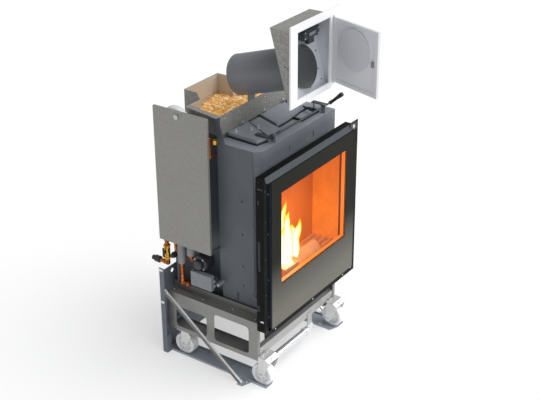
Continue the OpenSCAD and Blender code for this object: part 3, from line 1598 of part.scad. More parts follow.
floor_rails();
rear_posts();
rear_crossbar();
brace_struts();
post_clips();
side_frames();
front_beam();
cross_tube();
wheel_forks();
axle_pins();
fasteners();
front_left_wheel();
front_right_wheel();
rear_left_wheel();
rear_right_wheel();
base_tray();
left_panel();
right_panel();
front_panel();
top_plate();
bay_wall();
rear_cover();
deck_covers();
deck_clips();
cleaning_lever();
lever_grip();
turbulators();
boiler_tank();
firebox_liner();
hearth_casting();
burn_pot();
ash_drawer();
front_frame();
frame_trim();
hinge_blocks();
door_shell();
door_glass();
door_gasket();
hopper();
hopper_mesh();
auger_tube();
auger_screw();
auger_motor();
fan_housing();
fan_impeller();
chute_tube();
hatch_box();
hatch_frame();
hatch_door();
hatch_disc();
control_module();
service_panel();
panel_latch();
expansion_vessel();
circulation_pump();
terminal_box();
cables();
pipe_sleeves();
copper_pipes();
brass_fittings();
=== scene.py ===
"""Looks of a pellet-fired fireplace insert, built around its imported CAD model.

Laid out as a Blender add-on: sizes and colours are properties, each group of pieces is an
operator, and a sidebar panel lists them. Everything is in metres, X right, Y rear, Z up.
"""
import math

import bpy
import numpy as np
from bpy.props import FloatProperty, FloatVectorProperty, IntProperty, PointerProperty
from mathutils import Matrix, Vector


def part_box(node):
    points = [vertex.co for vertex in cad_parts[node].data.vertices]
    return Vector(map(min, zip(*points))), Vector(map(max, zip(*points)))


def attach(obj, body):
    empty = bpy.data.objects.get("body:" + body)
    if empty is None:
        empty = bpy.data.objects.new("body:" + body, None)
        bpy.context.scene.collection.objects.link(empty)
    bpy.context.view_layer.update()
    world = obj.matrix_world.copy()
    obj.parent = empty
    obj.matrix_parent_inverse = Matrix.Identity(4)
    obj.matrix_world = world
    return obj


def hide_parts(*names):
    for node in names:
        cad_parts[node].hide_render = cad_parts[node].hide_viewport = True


bl_info = {
    "name": "Fireplace insert",
    "version": (1, 0, 0),
    "blender": (4, 5, 0),
    "location": "View3D > Sidebar > Insert",
    "description": "Wheels, pellets, fire, fittings and finishes of a slide-out fireplace insert",
    "category": "Object",
}

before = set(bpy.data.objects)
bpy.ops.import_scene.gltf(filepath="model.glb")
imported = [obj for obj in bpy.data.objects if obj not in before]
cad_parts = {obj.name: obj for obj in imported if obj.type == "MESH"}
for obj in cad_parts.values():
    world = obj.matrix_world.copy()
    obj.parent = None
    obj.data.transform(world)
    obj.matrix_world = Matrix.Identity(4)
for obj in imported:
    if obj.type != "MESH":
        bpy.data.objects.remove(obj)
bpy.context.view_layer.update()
SIDES = (-1, 1)
RIGHT, REAR, UP = (1, 0, 0), (0, 1, 0), (0, 0, 1)
LEFT, FRONT, DOWN = (-1, 0, 0), (0, -1, 0), (0, 0, -1)
# The door window's left, right, bottom and top
WINDOW = (-0.266, 0.318, 0.575, 1.071)
FIRE_FLOOR, FIRE_TOP = 0.517, 1.1
FIRE_MIDDLE = (0.03, -0.262, 0.80)
# The burn pot's middle, seen from above
POT = (-0.081, -0.260)
# The chute's axis: a point at its hatch end, and its direction down to the rear
CHUTE, CHUTE_TILT = (-0.010, -0.321, 1.604), math.radians(17.8)
CHUTE_AXIS = (0, math.cos(CHUTE_TILT), -math.sin(CHUTE_TILT))
# Every finish by its short name, filled by make_finishes
M = {}


def corner(node, which):
    """One corner of a CAD node's box as an array: 0 is the lowest, 1 the highest."""
    return np.array(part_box(node)[which], float)


def rgb(code):
    """Linear colour from a hexadecimal screen colour: the screen curve is undone channel by channel."""
    v = np.array([int(code[i:i + 2], 16) for i in (0, 2, 4)]) / 255
    lin = np.where(v <= 0.04045, v / 12.92, ((v + 0.055) / 1.055) ** 2.4)
    return tuple(float(c) for c in lin)


def colour_setting(name, description, code):
    """A colour property with a hexadecimal default."""
    return FloatVectorProperty(name=name, description=description, subtype="COLOR", size=3,
                               min=0, max=1, default=rgb(code))


def length_setting(name, description, default):
    """A size property in metres."""
    return FloatProperty(name=name, description=description, default=default, unit="LENGTH")


class InsertSizes(bpy.types.PropertyGroup):
    """Sizes of the pieces that are added to the CAD model."""
    wheel_radius: length_setting("Wheel radius", "Tread radius of the trolley wheels",
                                 float(np.ptp([corner("front_left_wheel", k)[2] for k in (0, 1)])) / 2)
    tread_round: length_setting("Tread rounding", "Corner radius of a wheel's tread", 0.007)
    pellet_width: length_setting("Pellet width", "Diameter of a wood pellet", 0.0068)
    pellet_length: length_setting("Pellet length", "Middle length of a wood pellet", 0.019)
    pellet_count: IntProperty(name="Pellets", description="Pellets in the hopper's top layers",
                              default=3200, min=100, max=6000)
    wire_width: length_setting("Mesh wire", "Diameter of the hopper's mesh wire", 0.0022)
    flame_height: length_setting("Flame height", "Height of the tallest flame", 0.37)
    screw_width: length_setting("Screw head", "Diameter of the sheet screws' heads", 0.009)


class InsertColours(bpy.types.PropertyGroup):
    """Colours of the finishes."""
    body: colour_setting("Casing", "Powder coat of the casing", "6B6F76")
    dark: colour_setting("Dark casing", "Powder coat of the side panels", "565C62")
    posts: colour_setting("Base", "Powder coat of the posts", "676D76")
    zinc: colour_setting("Galvanised sheet", "Hopper, hatch box and service panel", "92918D")
    warm: colour_setting("Trolley sheet", "Cold-rolled sheet of the trolley", "8E8E8B")
    bright: colour_setting("Bright zinc", "Forks, clips and bolts", "DADADA")
    white: colour_setting("White coat", "Hatch frame", "EEEEF1")
    nylon: colour_setting("Wheel nylon", "Translucent wheels", "E9EAEC")
    copper: colour_setting("Copper", "Heating pipes", "C4703E")
    brass: colour_setting("Brass", "Valve and union", "D0A038")
    pellet: colour_setting("Pellet", "Pressed wood", "F2C47A")
    fire: colour_setting("Firelight", "Firebox walls", "D87A28")


# Meshes

def mesh_piece(name, shape, finish, body, node=None, smooth=True):
    """Puts a shape, its points and lists of equal-sided faces, into a mesh that rides on a body.

    finish names the finish that it wears, and node the CAD node it replaces.
    Where the signed volume, the sum of the face fans' triple products, is negative, every face
    is turned round.
    """
    points, faces = np.asarray(shape[0], float).reshape(-1, 3), shape[1]
    volume = 0.0
    for f in faces:
        a = points[f[:, 0]]
        for k in range(1, f.shape[1] - 1):
            volume += np.einsum("ij,ij->", a, np.cross(points[f[:, k]], points[f[:, k + 1]]))
    if volume < 0:
        faces = [f[:, ::-1] for f in faces]
    mesh = bpy.data.meshes.new(name)
    loops = np.concatenate([f.ravel() for f in faces])
    sides = np.concatenate([np.full(len(f), f.shape[1]) for f in faces])
    starts = np.concatenate([[0], np.cumsum(sides)[:-1]])
    mesh.vertices.add(len(points))
    mesh.vertices.foreach_set("co", points.astype(np.float32).ravel())
    mesh.loops.add(len(loops))
    mesh.loops.foreach_set("vertex_index", loops.astype(np.int32))
    mesh.polygons.add(len(sides))
    mesh.polygons.foreach_set("loop_start", starts.astype(np.int32))
    mesh.polygons.foreach_set("loop_total", sides.astype(np.int32))
    mesh.polygons.foreach_set("use_smooth", np.full(len(sides), smooth))
    mesh.update(calc_edges=True)
    mesh.validate()
    obj = bpy.data.objects.new(name, mesh)
    bpy.context.scene.collection.objects.link(obj)
    mesh.materials.append(M[finish])
    if smooth:
        mesh.set_sharp_from_angle(angle=math.radians(38))
    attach(obj, body)
    if node:
        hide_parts(node)
    return obj


def point_values(obj, name, values):
    """Gives each point of a mesh a number that a finish can read by name."""
    layer = obj.data.attributes.new(name, "FLOAT", "POINT")
    layer.data.foreach_set("value", np.asarray(values, np.float32))


def grid_faces(rows, columns, wrap_rows=False, wrap_columns=False):
    """Quads of a grid of points numbered row by row, optionally closed in either direction."""
    i = np.arange(rows if wrap_rows else rows - 1)
    j = np.arange(columns if wrap_columns else columns - 1)
    i, j = (m.ravel() for m in np.meshgrid(i, j, indexing="ij"))
    i1, j1 = (i + 1) % rows, (j + 1) % columns
    return np.stack([i * columns + j, i * columns + j1, i1 * columns + j1, i1 * columns + j], 1)


def ring_surface(rings, closed=False):
    """A stack of closed rings: quads between them, and a flat cap on each end if it isn't closed."""
    rows, columns = rings.shape[:2]
    faces = [grid_faces(rows, columns, wrap_rows=closed, wrap_columns=True)]
    if not closed:
        last = (rows - 1) * columns
        faces += [np.arange(columns)[::-1][None, :], last + np.arange(columns)[None, :]]
    return rings.reshape(-1, 3), faces


def axes_of(direction):
    """A direction's unit vector and two more, square to it and to each other."""
    d = np.asarray(direction, float)
    d = d / np.linalg.norm(d)
    a = np.cross(d, np.eye(3)[np.argmin(np.abs(d))])
    a /= np.linalg.norm(a)
    return d, a, np.cross(d, a)


def turned(profile, origin, axis, sides=48, closed=False):
    """(along, radius) pairs turned about an axis: origin + along * axis + radius * (cos t, sin t)."""
    d, a, b = axes_of(axis)
    p = np.asarray(profile, float)
    t = np.linspace(0, 2 * np.pi, sides, endpoint=False)
    around = np.cos(t)[:, None] * a + np.sin(t)[:, None] * b
    rings = np.asarray(origin, float) + p[:, 0, None, None] * d + p[:, 1, None, None] * around
    return ring_surface(rings, closed)


def band(place, axis, inner, outer, slope, width, sides):
    """A flat ring about an axis, from its place on: both its rims slope down to the inner radius."""
    return turned([(0, inner), (slope, outer), (width - slope, outer), (width, inner)],
                  place, axis, sides)


def swept(path, radius, sides=14):
    """A round tube along a path: each ring stands square to the path's central difference."""
    path = np.asarray(path, float)
    tangent = np.gradient(path, axis=0)
    tangent /= np.linalg.norm(tangent, axis=1)[:, None]
    normal = np.cross(tangent, np.eye(3)[np.argmin(np.ptp(path, axis=0))])
    normal /= np.maximum(np.linalg.norm(normal, axis=1), 1e-9)[:, None]
    other = np.cross(tangent, normal)
    t = np.linspace(0, 2 * np.pi, sides, endpoint=False)
    return ring_surface(path[:, None] + radius * (np.cos(t)[:, None] * normal[:, None]
                                                  + np.sin(t)[:, None] * other[:, None]))


def rod(start, end, radius, sides=8, rings=4):
    """A straight round rod."""
    return swept(np.linspace(start, end, rings), radius, sides)


def rounded_path(points, times=3):
    """A path with its corners cut at a quarter and three quarters of each leg, several times over."""
    p = np.asarray(points, float)
    for _ in range(times):
        q = np.stack([0.75 * p[:-1] + 0.25 * p[1:], 0.25 * p[:-1] + 0.75 * p[1:]], 1).reshape(-1, 3)
        p = np.concatenate([p[:1], q, p[-1:]])
    return p


def round_outline(width, height, radius, steps=6):
    """Outline of a rectangle about the origin, its four corners quarter circles."""
    t = np.linspace(0, np.pi / 2, steps + 1)
    cx, cy = width / 2 - radius, height / 2 - radius
    parts = []
    for k, (sx, sy) in enumerate(((1, 1), (-1, 1), (-1, -1), (1, -1))):
        a = t + k * np.pi / 2
        parts.append(np.stack([sx * cx + radius * np.cos(a), sy * cy + radius * np.sin(a)], 1))
    return np.concatenate(parts)


def moulded(outline, low, high, edge, place):
    """A slab with rounded rims: its outline shrinks towards its middle by edge * (1 - cos) while it
    rises by edge * sin, on both faces. place turns (a, b, c) into X, Y, Z."""
    o = np.asarray(outline, float)
    t = np.linspace(0, np.pi / 2, 5)
    inset = np.concatenate([edge * (1 - np.sin(t)), edge * (1 - np.cos(t))])
    rise = np.concatenate([low + edge * (1 - np.cos(t)), high - edge * (1 - np.sin(t))])
    flat = o[None] * (1 - 2 * inset[:, None] / np.ptp(o, axis=0)[None, :])[:, None]
    rings = place(flat[..., 0], flat[..., 1], np.broadcast_to(rise[:, None], flat.shape[:2]))
    return ring_surface(np.stack(rings, -1))


def box_piece(low, high, edge):
    """A rounded box between two corners, as a moulded slab that stands on Z."""
    low, high = np.asarray(low, float), np.asarray(high, float)
    mid, size = (low + high) / 2, high - low
    outline = round_outline(size[0], size[1], min(edge, size[0] / 2.01, size[1] / 2.01), 4)
    return moulded(outline, low[2], high[2], min(edge, size[2] / 2.01),
                   lambda a, b, c: (mid[0] + a, mid[1] + b, c))


def joined(parts):
    """Several (points, faces) shapes as one, each later one's face numbers moved up."""
    points, faces, base = [], [], 0
    for p, f in parts:
        points.append(p)
        faces += [g + base for g in f]
        base += len(p)
    return np.concatenate(points), faces


def heads(places, axis, radius, height, hexagon=False):
    """Screw heads at each place: a low dome, or a hexagon with a chamfer and a washer."""
    if hexagon:
        washer = [(0, radius * 1.25), (height * 0.18, radius * 1.25), (height * 0.2, radius * 1.2)]
        nut = [(height * 0.18, radius), (height * 0.85, radius), (height, radius * 0.86)]
        shape = joined([turned(washer, (0, 0, 0), axis, 20), turned(nut, (0, 0, 0), axis, 6)])
    else:
        t = np.linspace(0, 1, 5)
        dome = np.stack([height * np.sin(t * np.pi / 2), radius * np.cos(t * 1.25)], 1)
        shape = turned(dome, (0, 0, 0), axis, 14)
    return joined([(shape[0] + np.asarray(p, float), shape[1]) for p in places])


def screws(name, places, axis, radius, height, body, finish="bright",
           hexagon=False):
    """A piece of screw heads. An axis of None turns each head away from the middle plane x = 0."""
    if axis is None:
        shape = joined([heads([p], (np.sign(p[0]), 0, 0), radius, height) for p in places])
    else:
        shape = heads(places, axis, radius, height, hexagon)
    return mesh_piece(name, shape, finish, body, smooth=not hexagon)


def rods(rng, where, radius, length, tilt):
    """Short six-sided rods, each turned by a random heading and a small random tilt."""
    k = len(where)
    heading, lean = rng.uniform(0, 2 * np.pi, k), rng.normal(0, tilt, k)
    d = np.stack([np.cos(heading) * np.cos(lean), np.sin(heading) * np.cos(lean), np.sin(lean)], 1)
    a = np.stack([-np.sin(heading), np.cos(heading), np.zeros(k)], 1)
    b = np.cross(d, a)
    t = np.arange(6) * np.pi / 3
    ring = np.cos(t)[None, :, None] * a[:, None] + np.sin(t)[None, :, None] * b[:, None]
    half = (length * rng.uniform(0.35, 0.75, k))[:, None, None] * d[:, None]
    r = radius * rng.uniform(0.9, 1.1, k)[:, None, None]
    points = np.concatenate([where[:, None] - half + r * ring, where[:, None] + half + r * ring], 1)
    j = np.arange(6)
    quad = np.stack([j, (j + 1) % 6, (j + 1) % 6 + 6, j + 6], 1)
    base = (np.arange(k) * 12)[:, None, None]
    return points.reshape(-1, 3), [(base + quad[None]).reshape(-1, 4),
                                   (base + j[::-1][None, None]).reshape(-1, 6),
                                   (base + (j + 6)[None, None]).reshape(-1, 6)]


# Finishes

class Finish:
    """A node material with a Principled shader, and short calls for the nodes that feed it."""

    def __init__(self, name, colour, roughness=0.5, metallic=0.0):
        self.material = bpy.data.materials.new(name)
        self.material.use_nodes = True
        self.material.diffuse_color = (*colour, 1)
        self.tree = self.material.node_tree
        self.tree.nodes.clear()
        self.out = self.add("ShaderNodeOutputMaterial")
        self.shader = self.add("ShaderNodeBsdfPrincipled")
        self.plug(self.out.inputs[0], self.shader.outputs[0])
        self.feed("Roughness", roughness)
        self.feed("Metallic", metallic)
        self.coords = self.add("ShaderNodeTexCoord").outputs["Object"]
        self.colour = colour

    def add(self, kind, **values):
        node = self.tree.nodes.new(kind)
        for key, value in values.items():
            setattr(node, key, value)
        return node

    def plug(self, socket, value):
        """Gives a socket a source, a number, a vector or a colour. None leaves it as it is."""
        if isinstance(value, bpy.types.NodeSocket):
            self.tree.links.new(value, socket)
        elif isinstance(value, tuple) and socket.type == "RGBA":
            socket.default_value = (*value, 1)
        elif value is not None:
            socket.default_value = value

    def feed(self, name, value):
        """Gives one of the shader's own sockets a source or a value."""
        self.plug(self.shader.inputs[name], value)

    def texture(self, kind, stretch, **values):
        """A texture on object coordinates, stretched along the axes, with its sockets set by name."""
        mapping, node = self.add("ShaderNodeMapping"), self.add(kind)
        mapping.inputs["Scale"].default_value = stretch
        self.plug(mapping.inputs["Vector"], self.coords)
        self.plug(node.inputs["Vector"], mapping.outputs[0])
        for key, value in values.items():
            node.inputs[key].default_value = value
        return node

    def noise(self, scale, detail=3.0, stretch=(1, 1, 1), distortion=0.0):
        return self.texture("ShaderNodeTexNoise", stretch, Scale=scale, Detail=detail,
                            Distortion=distortion).outputs["Fac"]

    def cells(self, scale):
        return self.texture("ShaderNodeTexVoronoi", (1, 1, 1), Scale=scale).outputs["Color"]

    def ramp(self, fac, stops):
        node = self.add("ShaderNodeValToRGB")
        items = node.color_ramp.elements
        while len(items) < len(stops):
            items.new(0.5)
        for item, (place, shade) in zip(items, stops):
            item.position = place
            item.color = (*(rgb(shade) if isinstance(shade, str) else shade), 1)
        self.plug(node.inputs[0], fac)
        return node.outputs["Color"]

    def math(self, operation, a, b=None):
        node = self.add("ShaderNodeMath", operation=operation)
        self.plug(node.inputs[0], a)
        self.plug(node.inputs[1], b)
        return node.outputs[0]

    def times(self, a, b):
        return self.math("MULTIPLY", a, b)

    def vector(self, operation, a, b=None):
        """Vector arithmetic, which gives a number for a dot product and for a length."""
        node = self.add("ShaderNodeVectorMath", operation=operation)
        self.plug(node.inputs[0], a)
        self.plug(node.inputs[1], b)
        return node.outputs["Value" if operation in ("DOT_PRODUCT", "LENGTH") else "Vector"]

    def mix(self, fac, a, b, blend="MIX"):
        node = self.add("ShaderNodeMix", data_type="RGBA", blend_type=blend)
        for socket, value in ((0, fac), (6, a), (7, b)):
            self.plug(node.inputs[socket], value)
        return node.outputs[2]

    def axis(self, letter, source=None):
        """One part of a vector, or of the place on the object."""
        node = self.add("ShaderNodeSeparateXYZ")
        self.plug(node.inputs[0], self.coords if source is None else source)
        return node.outputs[letter]

    def flat_normal(self):
        return self.add("ShaderNodeNewGeometry").outputs["True Normal"]

    def between(self, value, low, high, low_to=0.0, high_to=1.0):
        """The value's place between two numbers, carried over to two others and held there."""
        node = self.add("ShaderNodeMapRange")
        for key, given in (("Value", value), ("From Min", low), ("From Max", high),
                           ("To Min", low_to), ("To Max", high_to)):
            self.plug(node.inputs[key], given)
        return node.outputs[0]

    def shade(self, *factors):
        """The finish's colour made darker: one factor for all channels or one for each."""
        return tuple(c * k for c, k in zip(self.colour, factors * (3 // len(factors))))

    def tinted(self, fac, amount):
        """The finish's colour, darker and lighter by an amount as fac goes from 0.3 to 0.7."""
        light = tuple(min(1.0, c * (1 + amount)) for c in self.colour)
        return self.ramp(fac, [(0.3, self.shade(1 - amount)), (0.7, light)])

    def looks_at(self, middle):
        """One on faces turned to a middle point, where (middle - place) . normal is over 4 mm."""
        away = self.vector("SUBTRACT", middle, self.coords)
        return self.math("GREATER_THAN", self.vector("DOT_PRODUCT", away, self.flat_normal()), 0.004)

    def worn_and_highlit_edges(self, colour, width=0.0016, amount=0.5):
        """Lightens where the surface turns, as rubbed wear and a painted edge highlight: a rounded
        normal is compared with the true one.
        """
        soft = self.add("ShaderNodeBevel", samples=4)
        soft.inputs["Radius"].default_value = width
        normal = self.add("ShaderNodeNewGeometry").outputs["Normal"]
        edge = self.between(self.vector("DOT_PRODUCT", soft.outputs[0], normal), 0.985, 0.8)
        rub_and_highlight = self.times(edge, self.between(self.noise(60, 4), 0.35, 0.6, 0.2, 1))
        light = tuple(min(1.0, c * 1.5 + 0.04) for c in self.colour)
        self.rounded = soft.outputs[0]
        # Wear and painted highlight: the edges are lightened by the rub amount
        return self.mix(self.times(rub_and_highlight, amount), colour, light)

    def relief(self, height, depth, strength=0.4, over=None):
        """Raises the surface by a height texture, over the rounded edges' normal where it is given."""
        node = self.add("ShaderNodeBump")
        for key, value in (("Strength", strength), ("Distance", depth), ("Height", height),
                           ("Normal", over)):
            self.plug(node.inputs[key], value)
        self.feed("Normal", node.outputs[0])
        return self.material


def powder_coat(name, colour, roughness=0.46, grain=1.0, gloss=0.5):
    """Satin powder coat: cloudy tint, fine orange-peel relief, edges slightly rubbed and lightened as a
    painted highlight.
    """
    f = Finish(name, colour, roughness)
    f.feed("Specular IOR Level", gloss)
    cloud = f.math("ADD", f.times(f.noise(5, 4), 0.6), f.times(f.noise(420, 2), 0.4))
    f.feed("Base Color", f.worn_and_highlit_edges(f.tinted(cloud, 0.10 * grain)))
    f.feed("Roughness", f.between(f.noise(22, 5), 0.3, 0.7, roughness - 0.05, roughness + 0.08))
    return f.relief(f.noise(780, 2), 0.00012, 0.35 * grain, f.rounded)


def chute_coat(colour):
    """Chute tube: grey coat outside, with a painted shadow darkening it towards the hatch, and a
    painted shade darkening its bore near its axis.
    """
    f = Finish("Chute coat", colour, 0.4)
    away = f.vector("SUBTRACT", f.coords, CHUTE)
    off_axis = f.vector("LENGTH", f.vector("CROSS_PRODUCT", away, CHUTE_AXIS))
    # Painted shadow: the coat darkens towards the hatch box, whose shadow falls on this end
    hatch_shadow = f.between(f.vector("DOT_PRODUCT", away, CHUTE_AXIS), 0.05, 0.30, 0.55, 0.0)
    coat = f.mix(hatch_shadow, f.worn_and_highlit_edges(f.tinted(f.noise(5, 4), 0.06)), f.shade(0.3))
    # Painted shade: the bore near the axis is painted dark, where shade falls inside the tube
    f.feed("Base Color", f.mix(f.math("LESS_THAN", off_axis, 0.1008), coat, f.shade(0.22)))
    return f.relief(f.noise(780, 2), 0.00012, 0.2, f.rounded)


def box_lit_inside(name, colour, middle, inner):
    """Zinc-coated box whose faces that look at its middle are painted lighter, a painted light that
    offsets the shade inside it.
    """
    f = Finish(name, colour, 0.5, 0.3)
    grain = f.mix(0.45, f.cells(150), f.noise(520, 3))
    coat = f.worn_and_highlit_edges(f.tinted(grain, 0.2), 0.0012, 0.4)
    # Painted light: faces that look inwards take the lighter inner colour
    f.feed("Base Color", f.mix(f.looks_at(middle), coat, rgb(inner)))
    return f.relief(f.noise(600, 2), 0.00006, 0.3, f.rounded)


def galvanised(name, colour):
    """Zinc-coated sheet: small crystals of slightly different brightness under a fine grain."""
    f = Finish(name, colour, 0.5, 0.35)
    crystals = f.ramp(f.cells(150), [(0.2, (0.36, 0.36, 0.36)), (0.8, (0.64, 0.64, 0.64))])
    base = f.tinted(f.mix(0.45, crystals, f.noise(520, 3)), 0.22)
    cloudy = f.mix(f.between(f.noise(3.2, 4), 0.35, 0.65, 0, 0.18), base, f.shade(0.8))
    f.feed("Base Color", f.worn_and_highlit_edges(cloudy, 0.0012, 0.4))
    f.feed("Roughness", f.between(crystals, 0.3, 0.7, 0.4, 0.6))
    return f.relief(f.noise(600, 2), 0.00006, 0.3, f.rounded)


def drawn_metal(name, colour, roughness=0.34, metallic=0.85, stretch=(4, 4, 90), streak=0.14):
    """Drawn or rolled metal: fine streaks along one axis in tint, gloss and relief."""
    f = Finish(name, colour, roughness, metallic)
    lines = f.noise(40, 3, stretch)
    base = f.tinted(f.math("ADD", f.times(lines, 0.7), f.times(f.noise(9, 3), 0.3)), streak)
    f.feed("Base Color", f.worn_and_highlit_edges(base, 0.001, 0.4))
    f.feed("Roughness", f.between(lines, 0.3, 0.7, roughness - 0.08, roughness + 0.12))
    return f.relief(lines, 0.00005, 0.3, f.rounded)


def strut_metal(colour):
    """Angle bar: faces that look up are painted near white as a painted highlight, the web below them
    is dull.
    """
    f = Finish("Strut zinc", colour, 0.36, 0.3)
    up = f.between(f.axis("Z", f.flat_normal()), 0.1, 0.4)
    # Painted highlight: up-facing faces are mixed towards near white
    f.feed("Base Color", f.mix(up, f.tinted(f.noise(40, 3, (20, 4, 4)), 0.12), rgb("F4F4F6")))
    return f.relief(f.noise(300, 3), 0.00005, 0.3)


def moulding(name, colour, roughness=0.42):
    """Moulded plastic: even colour with a faint flow tint and a leathery relief."""
    f = Finish(name, colour, roughness)
    f.feed("Base Color", f.tinted(f.noise(30, 3), 0.07))
    f.feed("Roughness", f.between(f.noise(260, 2), 0.3, 0.7, roughness - 0.04, roughness + 0.06))
    return f.relief(f.noise(1100, 2), 0.00008, 0.4)


def wheel_nylon(colour):
    """Milky wheel nylon: light passes a little way in, under clouds of floor dust."""
    f = Finish("Wheel nylon", colour, 0.36)
    f.feed("Subsurface Weight", 0.35)
    f.feed("Subsurface Radius", (0.02, 0.02, 0.022))
    f.feed("Subsurface Scale", 0.4)
    dust = f.between(f.noise(70, 5), 0.45, 0.7, 0, 0.35)
    f.feed("Base Color", f.mix(dust, f.tinted(f.noise(14, 3), 0.03), (0.5, 0.48, 0.45)))
    return f.relief(f.noise(420, 3), 0.0001, 0.3)


def fitting_metal(colour):
    """Fittings: brass, but grey moulded in front of a depth and blackened beyond another."""
    f = Finish("Fitting brass", colour, 0.26, 0.9)
    low = f.math("LESS_THAN", f.axis("Z"), 1.0)
    front = f.times(low, f.math("LESS_THAN", f.axis("Y"), 0.15))
    union = f.times(low, f.math("GREATER_THAN", f.axis("Y"), 0.322))
    base = f.mix(front, f.tinted(f.noise(40, 3, (1, 1, 60)), 0.12), rgb("9EA0A4"))
    f.feed("Base Color", f.mix(union, base, rgb("34373D")))
    f.feed("Metallic", f.math("SUBTRACT", 0.9, f.times(f.math("MAXIMUM", front, union), 0.85)))
    return f.relief(f.noise(300, 3), 0.00005, 0.3)


def copper_pipe(colour):
    """Handled copper: bright where it was wiped, browner in clouds, with fine draw lines."""
    f = Finish("Copper pipe", colour, 0.3, 0.9)
    age = f.between(f.noise(24, 6, distortion=0.6), 0.42, 0.68, 0, 0.8)
    wiped = f.tinted(f.noise(90, 2, (1, 1, 0.06)), 0.15)
    f.feed("Base Color", f.mix(age, wiped, f.shade(0.5, 0.42, 0.4)))
    f.feed("Roughness", f.between(age, 0, 0.8, 0.24, 0.5))
    return f.relief(f.noise(300, 3, (1, 1, 0.08)), 0.00006, 0.3)


def seal_rope():
    """Woven sealing cord: crossing diagonal waves as the braid, with a fibrous grain."""
    f = Finish("Sealing rope", rgb("3A3A38"), 0.92)
    wave = f.texture("ShaderNodeTexWave", (1, 1, 1), Scale=110)
    wave.bands_direction = "DIAGONAL"
    braid = f.mix(0.5, wave.outputs["Fac"], f.noise(500, 3))
    f.feed("Base Color", f.tinted(braid, 0.35))
    return f.relief(braid, 0.0006, 0.7)


def wood_pellet(colour):
    """Pressed wood: each pellet has its own tone, crossed by dark pressing cracks, and glows faintly as
    painted light against the shade of the chute and hatch.
    """
    f = Finish("Wood pellet", colour, 0.72)
    tone = f.add("ShaderNodeAttribute", attribute_name="tone").outputs["Fac"]
    wood = f.ramp(tone, [(0.0, "C07A22"), (0.35, "EFAE48"), (0.7, "FFD988"), (1.0, "FFF2C8")])
    cracks = f.between(f.noise(420, 4), 0.36, 0.5, 0.6, 1)
    f.feed("Base Color", f.mix(1.0, wood, cracks, "MULTIPLY"))
    # Painted light: the pellets glow in their own colour, though they are no lamp
    f.feed("Emission Color", wood)
    f.feed("Emission Strength", 0.24)
    return f.relief(f.noise(520, 4), 0.0005, 0.6)


def fire_wall(name, colour, glow, top=FIRE_TOP, soot=0.5, shades=("F8A444", "E89228", "B8601A"),
              walls=True):
    """Metal in firelight: sooty stains, and a painted glow of firelight whose shades run from the
    fire's floor to a top.

    Walls glow only on the faces that look at the fire's middle, and the rear wall is painted darker and
    redder as painted shade.
    """
    f = Finish(name, colour, 0.62)
    stain = f.between(f.noise(7, 6, (1, 1, 0.5), 0.5), 0.4, 0.75, 0, soot)
    warm = f.mix(stain, f.tinted(f.noise(60, 4), 0.12), f.shade(0.4))
    floor = FIRE_FLOOR if walls else FIRE_FLOOR - 0.01
    lit = f.ramp(f.between(f.axis("Z"), floor, top), list(zip((0.0, 0.3, 1.0), shades)))
    if walls:
        inside = f.looks_at(FIRE_MIDDLE)
        # Painted shade: faces turned to the front, the rear wall, take a darker, redder colour and glow
        rear = f.times(f.math("LESS_THAN", f.axis("Y", f.flat_normal()), -0.5), 0.5)
        warm = f.mix(inside, rgb("3A3D42"), f.mix(rear, warm, rgb("8C2C06")))
        lit = f.mix(rear, lit, rgb("D03C08"))
        glow = f.times(inside, glow)
    # Painted light: the glow stands in for the fire's light on these surfaces
    f.feed("Base Color", warm)
    f.feed("Emission Color", f.mix(f.times(stain, 0.5), lit, rgb("A8400E")))
    f.feed("Emission Strength", glow)
    return f.relief(f.noise(180, 4), 0.0004, 0.35)


def ember():
    """Glowing fuel: cells run from dull red through orange to nearly white."""
    f = Finish("Ember", rgb("3A1C0C"), 0.9)
    heat = f.mix(0.5, f.cells(95), f.noise(60, 4))
    f.feed("Emission Color", f.ramp(heat, [(0.22, "5A1404"), (0.42, "E04A08"), (0.6, "FFA024"),
                                           (0.8, "FFE9A0")]))
    f.feed("Emission Strength", 1.7)
    return f.relief(heat, 0.002, 0.6)


def flame():
    """Fire: its attribute blaze goes from a white core through yellow and orange to clear tips."""
    f = Finish("Flame", rgb("FFB040"), 1.0)
    blaze = f.add("ShaderNodeAttribute", attribute_name="blaze").outputs["Fac"]
    flicker = f.between(f.noise(16, 4, (1, 1, 0.35), 1.2), 0.3, 0.7, -0.3, 0.22)
    lick = f.math("ADD", blaze, flicker)
    f.feed("Emission Color", f.ramp(lick, [(0.0, "E8500A"), (0.2, "FF8A14"), (0.38, "FFC848"),
                                           (0.55, "FFF0A8"), (0.8, "FFFFF4")]))
    f.feed("Emission Strength", 2.6)
    f.feed("Base Color", (0, 0, 0))
    f.feed("Specular IOR Level", 0.0)
    f.feed("Alpha", f.between(lick, 0.06, 0.34))
    return f.material


